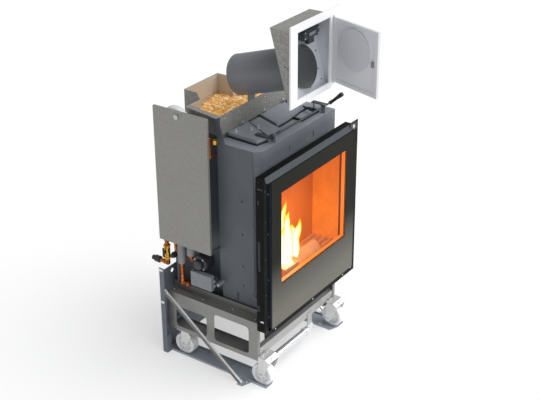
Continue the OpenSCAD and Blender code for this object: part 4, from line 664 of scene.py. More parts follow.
def door_pane():
    """Fire glass: a glossy dark enamel border, lighter towards its foot as a painted reflection of the
    floor, and a clear, faintly smoked window inside it.
    """
    low, high = corner("door_glass", 0)[2], corner("door_glass", 1)[2]
    x0, x1, z0, z1 = WINDOW
    f = Finish("Fire glass", rgb("35352F"), 0.07)
    f.feed("IOR", 1.52)
    rise = f.between(f.axis("Z"), low, high)
    # Painted reflection: the enamel is lighter towards the bottom, standing in for the pale floor's
    # reflection
    enamel_and_reflection = f.ramp(rise, [(0.08, "5A584D"), (0.26, "44433B"), (0.46, "1F201B")])
    f.feed("Base Color", f.mix(f.between(f.noise(3, 3), 0.3, 0.7, 0, 0.12), enamel_and_reflection, rgb("32322D")))
    f.feed("Specular IOR Level", f.between(rise, 0.05, 0.42, 0.42, 0.03))
    f.feed("Roughness", f.between(f.noise(30, 5), 0.35, 0.7, 0.05, 0.12))
    clear, sheen = f.add("ShaderNodeBsdfTransparent"), f.add("ShaderNodeBsdfGlossy")
    f.plug(clear.inputs[0], (0.97, 0.95, 0.92))
    f.plug(sheen.inputs["Roughness"], 0.04)
    f.plug(sheen.inputs["Color"], (0.8, 0.8, 0.8))
    facing = f.add("ShaderNodeFresnel")
    f.plug(facing.inputs["IOR"], 1.1)
    front = f.math("SUBTRACT", 1, f.add("ShaderNodeNewGeometry").outputs["Backfacing"])
    window, both = f.add("ShaderNodeMixShader"), f.add("ShaderNodeMixShader")
    x, z = f.axis("X"), f.axis("Z")
    across = f.times(f.math("GREATER_THAN", x, x0), f.math("LESS_THAN", x, x1))
    upright = f.times(f.math("GREATER_THAN", z, z0), f.math("LESS_THAN", z, z1))
    for mixer, fac, a, b in (
            (window, f.times(facing.outputs[0], front), clear.outputs[0], sheen.outputs[0]),
            (both, f.times(across, upright), f.shader.outputs[0], window.outputs[0])):
        for socket, source in enumerate((fac, a, b)):
            f.plug(mixer.inputs[socket], source)
    f.plug(f.out.inputs[0], both.outputs[0])
    return f.material


def lit_shell(colour):
    """Door shell: blued steel, with the faces of its window cut painted orange and glowing as painted
    firelight.
    """
    f = Finish("Door shell", colour, 0.4)
    x0, x1, z0, z1 = WINDOW
    near = 0.0006

    def within(value, low, high):
        off = f.math("ABSOLUTE", f.math("SUBTRACT", value, (low + high) / 2))
        return f.math("LESS_THAN", off, (high - low) / 2 + near)

    cut = f.times(within(f.axis("X"), x0, x1), within(f.axis("Z"), z0, z1))
    # Painted light: the cut faces take an orange colour and a glow in place of the fire's light
    f.feed("Base Color", f.mix(cut, f.worn_and_highlit_edges(f.tinted(f.noise(9, 4), 0.1)), rgb("C8601C")))
    f.feed("Emission Color", rgb("F08A30"))
    f.feed("Emission Strength", f.times(cut, 0.62))
    return f.relief(f.noise(780, 2), 0.0001, 0.3, f.rounded)


def cover_plate(colour):
    """Deck covers: coated plates whose lower part is painted near black as a painted shadow, where the
    real folded rim leaves a dark gap under the plate.
    """
    f = Finish("Cover plate", colour, 0.44)
    low, high = corner("deck_covers", 0)[2], corner("deck_covers", 1)[2]
    rim = f.between(f.axis("Z"), low + 0.3 * (high - low), low + 0.62 * (high - low))
    # Painted shadow: the lower part of each cover is mixed towards near black
    shaded = f.mix(rim, (0.012, 0.013, 0.015), f.tinted(f.noise(6, 4), 0.1))
    f.feed("Base Color", f.worn_and_highlit_edges(shaded))
    return f.relief(f.noise(700, 2), 0.00012, 0.35, f.rounded)


def make_finishes(colours):
    """Every finish once. Each row has a short name, what makes it, its name, a colour and more."""
    given = {key: tuple(getattr(colours, key)) for key in InsertColours.__annotations__}
    for key, make, name, code, *more in (
            ("body", powder_coat, "Grey powder coat", "body"),
            ("dark", powder_coat, "Dark powder coat", "dark", 0.5),
            ("posts", powder_coat, "Base powder coat", "posts", 0.5),
            ("rails", powder_coat, "Rail coat", "9AA1AC", 0.5),
            # Painted light: the deck is the casing coat made lighter, against the shadow of the hatch
            # and chute
            ("deck", powder_coat, "Deck powder coat", "878B93"),
            ("black", powder_coat, "Black frame coat", "070809", 0.52, 0.6, 0.12),
            ("hinge", powder_coat, "Blued hinge steel", "2A2F3A", 0.36),
            ("lever", powder_coat, "Lever steel", "393C40", 0.4),
            ("white", powder_coat, "White powder coat", "white", 0.34, 0.35),
            ("lid", powder_coat, "Hatch door coat", "D9DBE0", 0.4, 0.35),
            ("lilac", powder_coat, "Disc coat", "CBCDD3", 0.4, 0.4),
            ("vessel", powder_coat, "Vessel enamel", "D9DADC", 0.35, 0.4),
            ("zinc", galvanised, "Galvanised sheet", "zinc"),
            # The last colour of each box is the painted light on its inner faces
            ("hatch_in", box_lit_inside, "Hatch box sheet", "zinc", (0.018, -0.386, 1.651), "D4D7DD"),
            ("hopper_in", box_lit_inside, "Hopper sheet", "zinc", (-0.052, 0.060, 1.300), "D3CBBE"),
            ("warm", drawn_metal, "Trolley sheet", "warm", 0.42, 0.5, (3, 40, 3), 0.12),
            # Painted light: the beam is the trolley sheet made lighter
            ("beam", drawn_metal, "Beam sheet", "AEAEAB", 0.4, 0.5, (40, 3, 3), 0.1),
            ("bright", drawn_metal, "Bright zinc", "bright", 0.34, 0.6, (20, 20, 4), 0.1),
            ("tube_steel", drawn_metal, "Polished tube", "E4E6EA", 0.2, 0.9, (1, 40, 40), 0.08),
            ("steel", drawn_metal, "Bare steel", "B8B8B4", 0.36, 0.85, (6, 6, 40)),
            ("trim", drawn_metal, "Trim metal", "474B50", 0.42, 0.3, (1, 30, 30), 0.08),
            ("edge", fire_wall, "Liner edge", "6A1E0C", 0.05),
            ("wall", fire_wall, "Firebox wall", "fire", 0.28),
            ("casting", fire_wall, "Hearth casting", "C07848", 0.20, FIRE_FLOOR + 0.06, 0.3,
             ("C8783C", "F0A868", "FFC890"), False),
            ("grip", moulding, "Grip moulding", "32353B", 0.5),
            ("casing_plastic", moulding, "Terminal moulding", "82858C"),
            ("module", moulding, "Module moulding", "33363C", 0.38),
            ("black_plastic", moulding, "Black moulding", "16171A", 0.35),
            ("foam", moulding, "Pipe sleeve", "8F9192", 0.7),
            ("rubber", moulding, "Cable sheath", "101114", 0.55)):
        M[key] = make(name, given[code] if code in given else rgb(code), *more)
    # Painted light: the covers' 8A8E96 is the casing coat made lighter, against the hatch's shadow
    M.update(shell=lit_shell(rgb("2A2F3A")), tube=chute_coat(rgb("74777C")),
             strut=strut_metal(rgb("6E6D6A")), cover=cover_plate(rgb("8A8E96")),
             nylon=wheel_nylon(given["nylon"]), copper=copper_pipe(given["copper"]),
             brass=fitting_metal(given["brass"]), pellet=wood_pellet(given["pellet"]),
             rope=seal_rope(), ember=ember(), flame=flame(), glass=door_pane())


NODE_FINISHES = {
    "posts": "rear_posts rear_crossbar boiler_tank",
    "rails": "floor_rails",
    "white": "post_clips hatch_frame",
    "bright": "wheel_forks axle_pins fasteners deck_clips",
    "strut": "brace_struts",
    "warm": "side_frames",
    "beam": "front_beam",
    "tube_steel": "cross_tube",
    "nylon": "front_left_wheel front_right_wheel rear_left_wheel rear_right_wheel",
    "dark": "base_tray left_panel right_panel bay_wall",
    "body": "front_panel",
    "deck": "top_plate",
    "zinc": "rear_cover fan_housing service_panel",
    "hatch_in": "hatch_box",
    "hopper_in": "hopper",
    "cover": "deck_covers",
    "lever": "cleaning_lever ash_drawer auger_motor",
    "grip": "lever_grip",
    "steel": "turbulators hopper_mesh auger_tube auger_screw fan_impeller panel_latch",
    "wall": "firebox_liner",
    "casting": "hearth_casting burn_pot",
    "black": "front_frame",
    "hinge": "hinge_blocks",
    "shell": "door_shell",
    "trim": "frame_trim",
    "glass": "door_glass",
    "rope": "door_gasket",
    "tube": "chute_tube",
    "lid": "hatch_door",
    "lilac": "hatch_disc",
    "module": "control_module circulation_pump",
    "vessel": "expansion_vessel",
    "casing_plastic": "terminal_box",
    "rubber": "cables",
    "foam": "pipe_sleeves",
    "copper": "copper_pipes",
    "brass": "brass_fittings",
}


# Operators

class INSERT_OT_finishes(bpy.types.Operator):
    """Make all finishes and give every CAD node its own"""
    bl_idname = "insert.finishes"
    bl_label = "Finishes"

    def execute(self, context):
        make_finishes(context.scene.insert_colours)
        for key, nodes in NODE_FINISHES.items():
            for node in nodes.split():
                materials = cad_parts[node].data.materials
                materials.clear()
                materials.append(M[key])
        return {"FINISHED"}


class INSERT_OT_wheels(bpy.types.Operator):
    """Turned nylon wheels with a rounded tread, a dished web and a hub, in place of the plain ones"""
    bl_idname = "insert.wheels"
    bl_label = "Wheels"

    def execute(self, context):
        r, e = context.scene.insert_sizes.wheel_radius, context.scene.insert_sizes.tread_round
        t = np.linspace(np.pi / 2, 0, 7)
        # Half a section: the tread's quarter round, the dished web and the hub, then its mirror image
        for side in ("front_left", "front_right", "rear_left", "rear_right"):
            node = side + "_wheel"
            low, high = corner(node, 0), corner(node, 1)
            w = (high[0] - low[0]) / 2
            rim = np.stack([w - e + e * np.cos(t), r - e + e * np.sin(t)], 1)
            half = np.concatenate([rim, [(w, r - 0.014), (w - 0.004, r - 0.018), (w - 0.011, r - 0.021),
                                         (w - 0.012, 0.021), (w - 0.009, 0.0165), (w - 0.001, 0.015),
                                         (w, 0.013), (w, 0.0052)]])
            whole = np.concatenate([half, half[::-1] * (-1, 1)])
            mesh_piece(node + "_tyre", turned(whole, (low + high) / 2, RIGHT, 72, closed=True),
                       "nylon", "wheel_" + side, node)
        return {"FINISHED"}


class INSERT_OT_base(bpy.types.Operator):
    """Floor anchors, and the screws and rivets of the gussets, posts and struts"""
    bl_idname = "insert.base"
    bl_label = "Base details"

    def execute(self, context):
        plate_top, rail_x = 0.003, 0.380
        anchors = [(sx * 0.280, sy * 0.260, plate_top) for sx in SIDES for sy in SIDES]
        screws("floor_anchors", anchors, UP, 0.0085, 0.007, "base", hexagon=True)
        gussets = [(sx * rail_x, y, plate_top) for sx in SIDES for y in (-0.243, -0.208)]
        screws("gusset_screws", gussets, UP, 0.0055, 0.004, "base", hexagon=True)
        rivets = [(sx * rail_x, 0.283, z) for sx in SIDES for z in (0.060, 0.330, 0.395)]
        screws("post_rivets", rivets, FRONT, 0.005, 0.0022, "base")
        tips = [(sx * 0.4052, 0.235, 0.3755) for sx in SIDES]
        screws("strut_screws", tips, None, 0.0045, 0.0018, "base")
        return {"FINISHED"}


class INSERT_OT_trolley(bpy.types.Operator):
    """Ribs of the forks, and the screws and tube collars of the trolley"""
    bl_idname = "insert.trolley"
    bl_label = "Trolley details"

    def execute(self, context):
        t, v = np.linspace(0, np.pi, 9), np.linspace(0.15, np.pi - 0.15, 8)
        taper = np.sin(v)[:, None] ** 0.35
        front_axle, rear_axle = -0.315, 0.180
        # A rib: half ovals stacked upwards, each drawn in by sin(v) ** 0.35
        ribs = []
        for sx in SIDES:
            for y, top in ((front_axle, 0.163), (rear_axle, 0.140)):
                z = np.linspace(0.072, top - 0.006, 8)[:, None] + 0 * t
                ribs.append(ring_surface(np.stack([sx * (0.361 + taper * np.sin(t) * 0.003),
                                                   y - 0.02 + taper * np.cos(t) * 0.006, z], -1)))
        mesh_piece("fork_ribs", joined(ribs), "bright", "carriage")
        pins = [(sx * 0.365, y, 0.063) for sx in SIDES for y in (front_axle, rear_axle)]
        screws("axle_heads", pins, None, 0.0062, 0.003, "carriage")
        flange = [(sx * x, y, 0.365) for sx in SIDES for x, y in
                  ((0.335, -0.270), (0.322, -0.120), (0.335, 0.060), (0.335, 0.245))]
        screws("flange_screws", flange, UP, context.scene.insert_sizes.screw_width / 2, 0.003,
               "carriage")
        tube_left = corner("cross_tube", 0)[0]
        bands = [band((tube_left + x, -0.305, 0.093), RIGHT, 0.0202, 0.0222, 0.001, 0.010, 36)
                 for x in (0.02, 0.32)]
        mesh_piece("tube_collars", joined(bands), "bright", "carriage")
        return {"FINISHED"}


class INSERT_OT_casing(bpy.types.Operator):
    """Sheet screws, hook lips, rear louvres and collar beads of the casing"""
    bl_idname = "insert.casing"
    bl_label = "Casing details"

    def execute(self, context):
        d = context.scene.insert_sizes.screw_width / 2
        left = [(-0.286, y, z) for y in (-0.222, -0.034) for z in (0.470, 0.860, 1.225)]
        right = [(0.380, y, z) for y in (-0.200, 0.030, 0.240) for z in (0.480, 0.850, 1.220)]
        screws("casing_screws", left + right, None, d * 0.8, 0.0022, "carriage", "dark")
        # A lip: an upright wire that bows outwards by 2.2 mm * (1 - u * u)
        u = np.linspace(-1, 1, 9)
        lips = [swept(np.stack([-0.2862 - 0.0022 * (1 - u ** 2), np.full(9, -0.1655),
                                z + u * 0.0065], 1), 0.0011, 8)
                for z in (0.970, 0.789, 0.611, 0.501)]
        mesh_piece("hook_lips", joined(lips), "dark", "carriage")
        # A louvre: half ovals from left to right, each drawn in by sin ** 0.3 of its share of the way
        x, t = np.linspace(-0.020, 0.180, 15)[:, None], np.linspace(0, np.pi, 13)
        swell = np.sin(np.linspace(0, np.pi, 15))[:, None] ** 0.3
        louvres = [ring_surface(np.stack([x + 0 * t, 0.2695 + swell * np.sin(t) * 0.006,
                                          0.900 + k * 0.034 + swell * np.cos(t) * 0.009], -1))
                   for k in range(7)]
        mesh_piece("rear_louvres", joined(louvres), "zinc", "carriage")
        rear = [(x, 0.270, z) for x in (-0.235, 0.065, 0.365) for z in (0.410, 0.800, 1.230)]
        screws("rear_screws", rear, REAR, d, 0.0025, "carriage")
        beads = [band((x, 0.300, z), REAR, r, r + 0.0022, 0.002, 0.007, 40)
                 for x, z, r in ((0.262, 0.520, 0.0401), (0.060, 0.440, 0.0301))]
        mesh_piece("collar_beads", joined(beads), "zinc", "carriage")
        return {"FINISHED"}


class INSERT_OT_deck(bpy.types.Operator):
    """Bent wire clips with pins, stud nuts, beads of the covers, and the lever's collars and grip"""
    bl_idname = "insert.deck"
    bl_label = "Deck and lever"

    def execute(self, context):
        y, z = -0.042, corner("deck_clips", 0)[2]
        # A clip: two upright legs joined by half a circle of 5 mm radius
        clips, pins = [], []
        for x in (-0.102, 0.080, 0.246):
            bend = [(x - 0.005 * math.cos(a), y, z + 0.0176 + 0.005 * math.sin(a))
                    for a in np.linspace(0, np.pi, 9)]
            legs = [(x - 0.005, y, z + 0.0003), *bend, (x + 0.005, y, z + 0.0003)]
            clips.append(swept(legs, 0.0018, 10))
            pins.append(rod((x - 0.0085, y, z + 0.0082), (x + 0.0085, y, z + 0.0082), 0.0028, 12))
        mesh_piece("wire_clips", joined(clips), "bright", "carriage", "deck_clips")
        mesh_piece("clip_pins", joined(pins), "black_plastic", "carriage")
        nuts = [(-0.125, -0.108, z), (-0.183, -0.060, z), (-0.079, -0.116, z - 0.007)]
        screws("stud_nuts", nuts, UP, 0.0062, 0.006, "carriage", hexagon=True)
        self.lever()
        # A bead: a thin wire round a cover's outline, which is drawn in to 96 % about its middle
        seams = []
        for outline in ([(-0.211, -0.028), (-0.217, -0.205), (-0.149, -0.220), (-0.043, -0.028)],
                        [(0.004, -0.168), (0.057, -0.028), (0.258, -0.028), (0.258, -0.150),
                         (0.120, -0.168)]):
            q = np.array(outline)
            q = q.mean(0) + (q - q.mean(0)) * 0.96
            legs = [np.linspace(a, b, 8)[:-1] for a, b in zip(q, np.roll(q, -1, axis=0))]
            path = np.concatenate(legs + [q[:1]])
            path = np.column_stack([path, np.full(len(path), z + 0.0003)])
            seams.append(swept(path, 0.0007, 6))
        mesh_piece("cover_beads", joined(seams), "body", "carriage")
        return {"FINISHED"}

    @staticmethod
    def lever():
        """Collars on the lever's shaft, and the grip's moulding and ribs, square to its handle."""
        axle_y, axle_z, angle, reach = -0.245, 1.279, math.radians(42), 0.092
        rings = [band((x, axle_y, axle_z), RIGHT, 0.0051, 0.0098, 0.001, 0.008, 28)
                 for x in (-0.1315, 0.2915, 0.3045, 0.364)]
        mesh_piece("lever_collars", joined(rings), "lever", "cleaning_lever_body")
        left, right = corner("lever_grip", 0)[0], corner("lever_grip", 1)[0]
        outline = round_outline(0.048, 0.024, 0.004)
        outline[:, 1] *= 1 + 0.18 * outline[:, 0] / 0.024

        def on_handle(a, b, c):
            along = reach - 0.024 + a
            return (c, axle_y - along * math.cos(angle) + b * math.sin(angle),
                    axle_z + along * math.sin(angle) + b * math.cos(angle))

        mesh_piece("grip_moulding", moulded(outline * (1, 0.84), left, right, 0.0028, on_handle),
                   "grip", "cleaning_lever_body", "lever_grip")
        across, one = np.linspace(-0.0085, 0.0085, 7), np.ones(7)
        ribs = [swept(np.stack(on_handle((-0.014 + k * 0.007) * one, across, (left + 0.0002) * one), 1),
                      0.0009, 8) for k in range(5)]
        mesh_piece("grip_ribs", joined(ribs), "grip", "cleaning_lever_body")


class INSERT_OT_fire(bpy.types.Operator):
    """Embers, loose burning pellets, flames and the light they throw on the firebox"""
    bl_idname = "insert.fire"
    bl_label = "Fire"

    def execute(self, context):
        rng = np.random.default_rng(7)
        # The bed: a hump of (1 - u * u) * (1 - v * v) with a fine ripple, over a flat underside
        u, v = np.meshgrid(np.linspace(-1, 1, 33), np.linspace(-1, 1, 33), indexing="ij")
        hump = 0.022 * (1 - u ** 2) * (1 - v ** 2) + 0.004 * np.sin(9 * u) * np.cos(8 * v)
        bed = np.stack([POT[0] + u * 0.0525, POT[1] + v * 0.0525, 0.545 + hump], -1)
        under = bed[:, ::-1].copy()
        under[..., 2] = 0.530
        layers = [(b.reshape(-1, 3), [grid_faces(33, 33)]) for b in (bed, under)]
        mesh_piece("ember_bed", joined(layers), "ember", "pot")
        spot = rng.uniform(-1, 1, (260, 2))
        where = np.column_stack([POT[0] + spot[:, 0] * 0.047, POT[1] + spot[:, 1] * 0.047,
                                 0.553 + 0.022 * (1 - spot[:, 0] ** 2) * (1 - spot[:, 1] ** 2)])
        mesh_piece("burning_pellets", rods(rng, where, 0.0034, 0.014, 0.5), "ember", "pot")
        self.flames(rng, context.scene.insert_sizes.flame_height)
        edge = box_piece((0.3255, -0.3425, 0.522), (0.3303, -0.333, 1.094), 0.0012)
        mesh_piece("liner_edge", edge, "edge", "carriage")
        for name, place, power, size, tint in (
                ("Fire light", (-0.03, -0.262, 0.72), 1.6, 0.04, (1.0, 0.60, 0.16)),
                ("Ember light", (-0.070, -0.262, 0.62), 0.5, 0.02, (1.0, 0.66, 0.30))):
            data = bpy.data.lights.new(name, "POINT")
            data.energy, data.shadow_soft_size, data.color = power, size, tint
            light = bpy.data.objects.new(name, data)
            light.location = place
            context.scene.collection.objects.link(light)
        return {"FINISHED"}

    @staticmethod
    def flames(rng, height):
        """Tongues of fire: half width w * (v ^ 0.35) * (1 - v) ^ 0.8 about a swaying middle line."""
        v, u = np.linspace(0, 1, 26)[:, None], np.linspace(-1, 1, 11)[None, :]
        parts, blaze = [], (1 - v) ** 0.55 * (1 - 0.8 * u ** 2) * 1.15
        shares = (1.0, 0.66, 0.5, 0.86, 0.74, 0.44, 0.6, 0.5, 0.62)
        for k, share in enumerate(shares):
            tall, turn = height * share, rng.uniform(-1.1, -0.7)
            foot_x = POT[0] + rng.uniform(-0.035, 0.035) + 0.080 * (k % 3) / 2
            foot_y = POT[1] + rng.uniform(-0.03, 0.03)
            half = rng.uniform(0.038, 0.058) * np.maximum(v, 0.02) ** 0.35 * (1 - v) ** 0.8 + 0.0004
            sway = 0.02 * np.sin(v * rng.uniform(4, 8) + rng.uniform(0, 6)) * v + 0.10 * v ** 2 * tall
            across, bow = u * half + sway * 0.5, 0.012 * (1 - u ** 2) * np.sin(v * np.pi)
            x = foot_x + across * math.cos(turn) - bow * math.sin(turn) + sway * 0.5
            y = np.clip(foot_y + across * math.sin(turn) + bow * math.cos(turn), -0.328, -0.188)
            z = 0.560 + v * tall + 0.012 * (1 - u ** 2) * (1 - v)
            parts.append((np.stack([x, y, z], -1).reshape(-1, 3), [grid_faces(26, 11)]))
        flames = mesh_piece("flames", joined(parts), "flame", "pot")
        point_values(flames, "blaze", np.tile(blaze.ravel(), len(shares)))
        flames.visible_shadow = False


class INSERT_OT_door(bpy.types.Operator):
    """Screws of the frame and the door, hinge rings, and the bead round the window"""
    bl_idname = "insert.door"
    bl_label = "Door and frame"

    def execute(self, context):
        y, heights = -0.366, (0.345, 0.560, 0.760, 0.960)
        places = [(-0.380, y, z) for z in (*heights, 1.120)]
        places += [(0.4265, y, z) for z in (*heights, 1.150)]
        screws("frame_screws", places, FRONT, 0.0042, 0.002, "carriage", "hinge")
        screws("sill_screws", [(x, y, 0.329) for x in (-0.300, 0.037, 0.330)], FRONT, 0.0042, 0.0024,
               "carriage")
        rings = [band((0.393, -0.365, z), UP, 0.0085, 0.0105, 0.0012, 0.008, 28)
                 for z in (1.1565, 0.3442)]
        mesh_piece("hinge_rings", joined(rings), "bright", "carriage")
        screws("hinge_screw", [(0.384, -0.376, 1.175)], FRONT, 0.008, 0.0035, "carriage",
               hexagon=True)
        side = [(-0.349, -0.3585, z) for z in (0.420, 0.630, 0.880, 1.090)]
        screws("door_side_screws", side, LEFT, 0.0035, 0.0018, "door")
        # The bead: a 2 mm ring carried round the window, each turned outwards from its middle
        x0, x1, z0, z1 = WINDOW
        corners = ((x0, z0), (x1, z0), (x1, z1), (x0, z1), (x0, z0))
        loop = np.concatenate([np.linspace(p, q, 20)[:-1] for p, q in zip(corners, corners[1:])])
        bead_y = -0.3738
        path = np.column_stack([loop[:, 0], np.full(len(loop), bead_y), loop[:, 1]])
        mid = np.array([(x0 + x1) / 2, bead_y, (z0 + z1) / 2])
        path = mid + (path - mid) * 0.994
        t = np.linspace(0, 2 * np.pi, 10, endpoint=False)
        out = (path - mid) / np.abs(path - mid).max(axis=1)[:, None]
        rings = (path[:, None] + 0.002 * np.cos(t)[None, :, None] * np.sign(np.round(out, 3))[:, None]
                 + 0.002 * np.sin(t)[None, :, None] * np.array(REAR))
        mesh_piece("window_bead", ring_surface(rings, closed=True), "black", "door")
        return {"FINISHED"}


class INSERT_OT_hopper(bpy.types.Operator):
    """Pellets heaped under a wire mesh, the mesh itself, and the hopper's rivets and hems"""
    bl_idname = "insert.hopper"
    bl_label = "Hopper and pellets"

    @staticmethod
    def heap(x, y):
        """Height of the heap: full to the mesh in front, sinking in a smooth slope to the rear left."""
        s = np.clip((x + 0.235) / 0.2 + (0.06 - y) / 0.16, -1.2, 1)
        return 1.317 - 0.050 * np.clip(0.35 - s, 0, 1.4) ** 1.3

    def bed(self, rng, x_range, y_range, rows, columns):
        """A rough sheet just under the heap's surface."""
        x, y = np.meshgrid(np.linspace(*x_range, rows), np.linspace(*y_range, columns), indexing="ij")
        z = self.heap(x, y) - 0.006 + rng.uniform(-0.002, 0.002, x.shape)
        return np.stack([x, y, z], -1).reshape(-1, 3), [grid_faces(rows, columns)]

    def execute(self, context):
        sizes = context.scene.insert_sizes
        rng = np.random.default_rng(3)
        front, step, back = -0.0275, 0.1495, 0.2455
        beds = [self.bed(rng, (-0.266, 0.297), (front, step), 90, 34),
                self.bed(rng, (-0.1845, 0.0795), (step, back), 50, 20)]
        under = mesh_piece("pellet_bed", joined(beds), "pellet", "carriage")
        point_values(under, "tone", rng.uniform(0, 0.45, len(under.data.vertices)))
        k = sizes.pellet_count
        share = int(k * 0.76)
        px = np.concatenate([rng.uniform(-0.254, 0.285, share), rng.uniform(-0.172, 0.067, k - share)])
        py = np.concatenate([rng.uniform(-0.017, 0.140, share), rng.uniform(0.140, 0.235, k - share)])
        where = np.column_stack([px, py, self.heap(px, py) + rng.uniform(-0.006, 0.003, k)])
        pellets = mesh_piece("pellets", rods(rng, where, sizes.pellet_width / 2, sizes.pellet_length,
                                             0.16), "pellet", "carriage")
        point_values(pellets, "tone", np.repeat(rng.uniform(0.1, 1, k), 12))
        r, low, high, wires = sizes.wire_width / 2, 1.3305, 1.3325, []
        for x in np.arange(-0.251, 0.300, 0.036):
            wires.append(rod((x, front, low), (x, back if -0.185 < x < 0.080 else step, low), r))
        for y in np.arange(-0.012, 0.246, 0.036):
            left, right = (-0.2665, 0.2975) if y < step else (-0.1845, 0.0795)
            wires.append(rod((left, y, high), (right, y, high), r))
        mesh_piece("wire_mesh", joined(wires), "steel", "carriage", "hopper_mesh")
        rivets = [heads(places, axis, 0.0035, 0.0015) for places, axis in (
            ([(x, -0.0305, 1.352) for x in (-0.230, -0.120, 0.100, 0.240)], FRONT),
            ([(-0.150, back, 1.405), (0.050, back, 1.405), (-0.150, back, 1.350)], FRONT),
            ([(-0.1852, 0.172, 1.402), (-0.1852, 0.235, 1.402)], RIGHT))]
        mesh_piece("hopper_rivets", joined(rivets), "bright", "carriage")
        hems = [rod((-0.1868, 0.2475, 1.4225), (0.0818, 0.2475, 1.4225), 0.0016, rings=6),
                rod((-0.2685, -0.0292, 1.3728), (0.2995, -0.0292, 1.3728), 0.0015, rings=6)]
        mesh_piece("hopper_hems", joined(hems), "zinc", "carriage")
        return {"FINISHED"}


class INSERT_OT_hatch(bpy.types.Operator):
    """Rivets and screws, the control module's face, the tube's rims, and the door's fold and catch"""
    bl_idname = "insert.hatch"
    bl_label = "Filling hatch"

    def execute(self, context):
        low, high = corner("hatch_box", 0)[0], corner("hatch_box", 1)[0]
        side = ((-0.362, 1.790), (-0.362, 1.640), (-0.362, 1.520), (-0.352, 1.650), (-0.335, 1.655))
        screws("box_rivets", [(x, y, z) for x in (low, high) for y, z in side], None, 0.004, 0.0016,
               "carriage", "lever")
        # The box's inner plate slopes from low in front to high at the rear
        plate_rise, plate_run = 0.357, 0.101
        slope = math.atan2(plate_run, plate_rise)
        inner = [(x, -0.354 + (z - 1.470) / plate_rise * plate_run - 0.0022, z) for x, z in
                 ((-0.120, 1.500), (0.020, 1.497), (0.120, 1.508), (0.112, 1.560), (0.125, 1.640),
                  (0.070, 1.760), (0.120, 1.735), (0.130, 1.800), (-0.125, 1.560))]
        screws("plate_rivets", inner, (0, -math.cos(slope), math.sin(slope)), 0.004, 0.002,
               "carriage", "lever")
        screws("hatch_screws", [(x, -0.380, z) for x in (-0.165, 0.205) for z in (1.475, 1.835)],
               FRONT, 0.004, 0.0015, "carriage", "white")
        self.module()
        rims = [band(np.array(CHUTE) + np.array(CHUTE_AXIS) * s, CHUTE_AXIS, 0.1003, 0.1026, 0.0012,
                     0.0054, 72) for s in (-0.012, 0.3736)]
        mesh_piece("tube_rims", joined(rims), "tube", "carriage")
        self.lid()
        return {"FINISHED"}

    @staticmethod
    def module():
        """The control module's face, its window and its screws."""
        low, high = corner("control_module", 0), corner("control_module", 1)
        mid_x, mid_z = (low[0] + high[0]) / 2, high[2] - 0.022

        def on_face(a, b, c):
            return mid_x + a, low[1] - c, mid_z + b

        width = high[0] - low[0] - 0.004
        face = [moulded(round_outline(width, 0.042, 0.005), -0.006, 0.003, 0.0015, on_face),
                moulded(round_outline(0.072, 0.026, 0.003), 0.002, 0.0055, 0.001, on_face)]
        mesh_piece("module_face", joined(face), "module", "carriage")
        pane = moulded(round_outline(0.050, 0.015, 0.002), 0.005, 0.0065, 0.0006, on_face)
        mesh_piece("module_window", pane, "casing_plastic", "carriage")
        spots = [on_face(a, b, 0.003) for a in (-0.055, 0.055) for b in (-0.014, 0.014)]
        screws("module_screws", spots, FRONT, 0.0036, 0.0018, "carriage")

    @staticmethod
    def lid():
        """The door's inner fold and catch, set out on the closed door and turned to its open place."""
        turn, hinge_x, hinge_y, mid_z = math.radians(73.6), 0.164, -0.386, 1.651

        def on_lid(x, y, z):
            dx, dy = x - hinge_x, y - hinge_y
            return (hinge_x + dx * math.cos(turn) - dy * math.sin(turn),
                    hinge_y + dx * math.sin(turn) + dy * math.cos(turn), z)

        # The fold: four copies of the lid's outline, two of them 1.2 % larger, closed into a frame
        outline, rings = round_outline(0.236, 0.280, 0.006), []
        for grow, rise in ((1.0, -0.0032), (1.0, -0.0026), (1.012, -0.0024), (1.012, -0.0032)):
            a, b = (outline * grow).T
            rings.append(np.stack(on_lid(0.0105 + a, -0.3772 + rise, mid_z + b), -1))
        mesh_piece("lid_fold", ring_surface(np.stack(rings), closed=True), "white", "hatch_lid")
        catch = moulded(round_outline(0.016, 0.030, 0.004), -0.003, 0.004, 0.0015,
                        lambda a, b, c: on_lid(-0.105 + a, -0.3805 + c, mid_z + b))
        mesh_piece("lid_catch", catch, "casing_plastic", "hatch_lid")


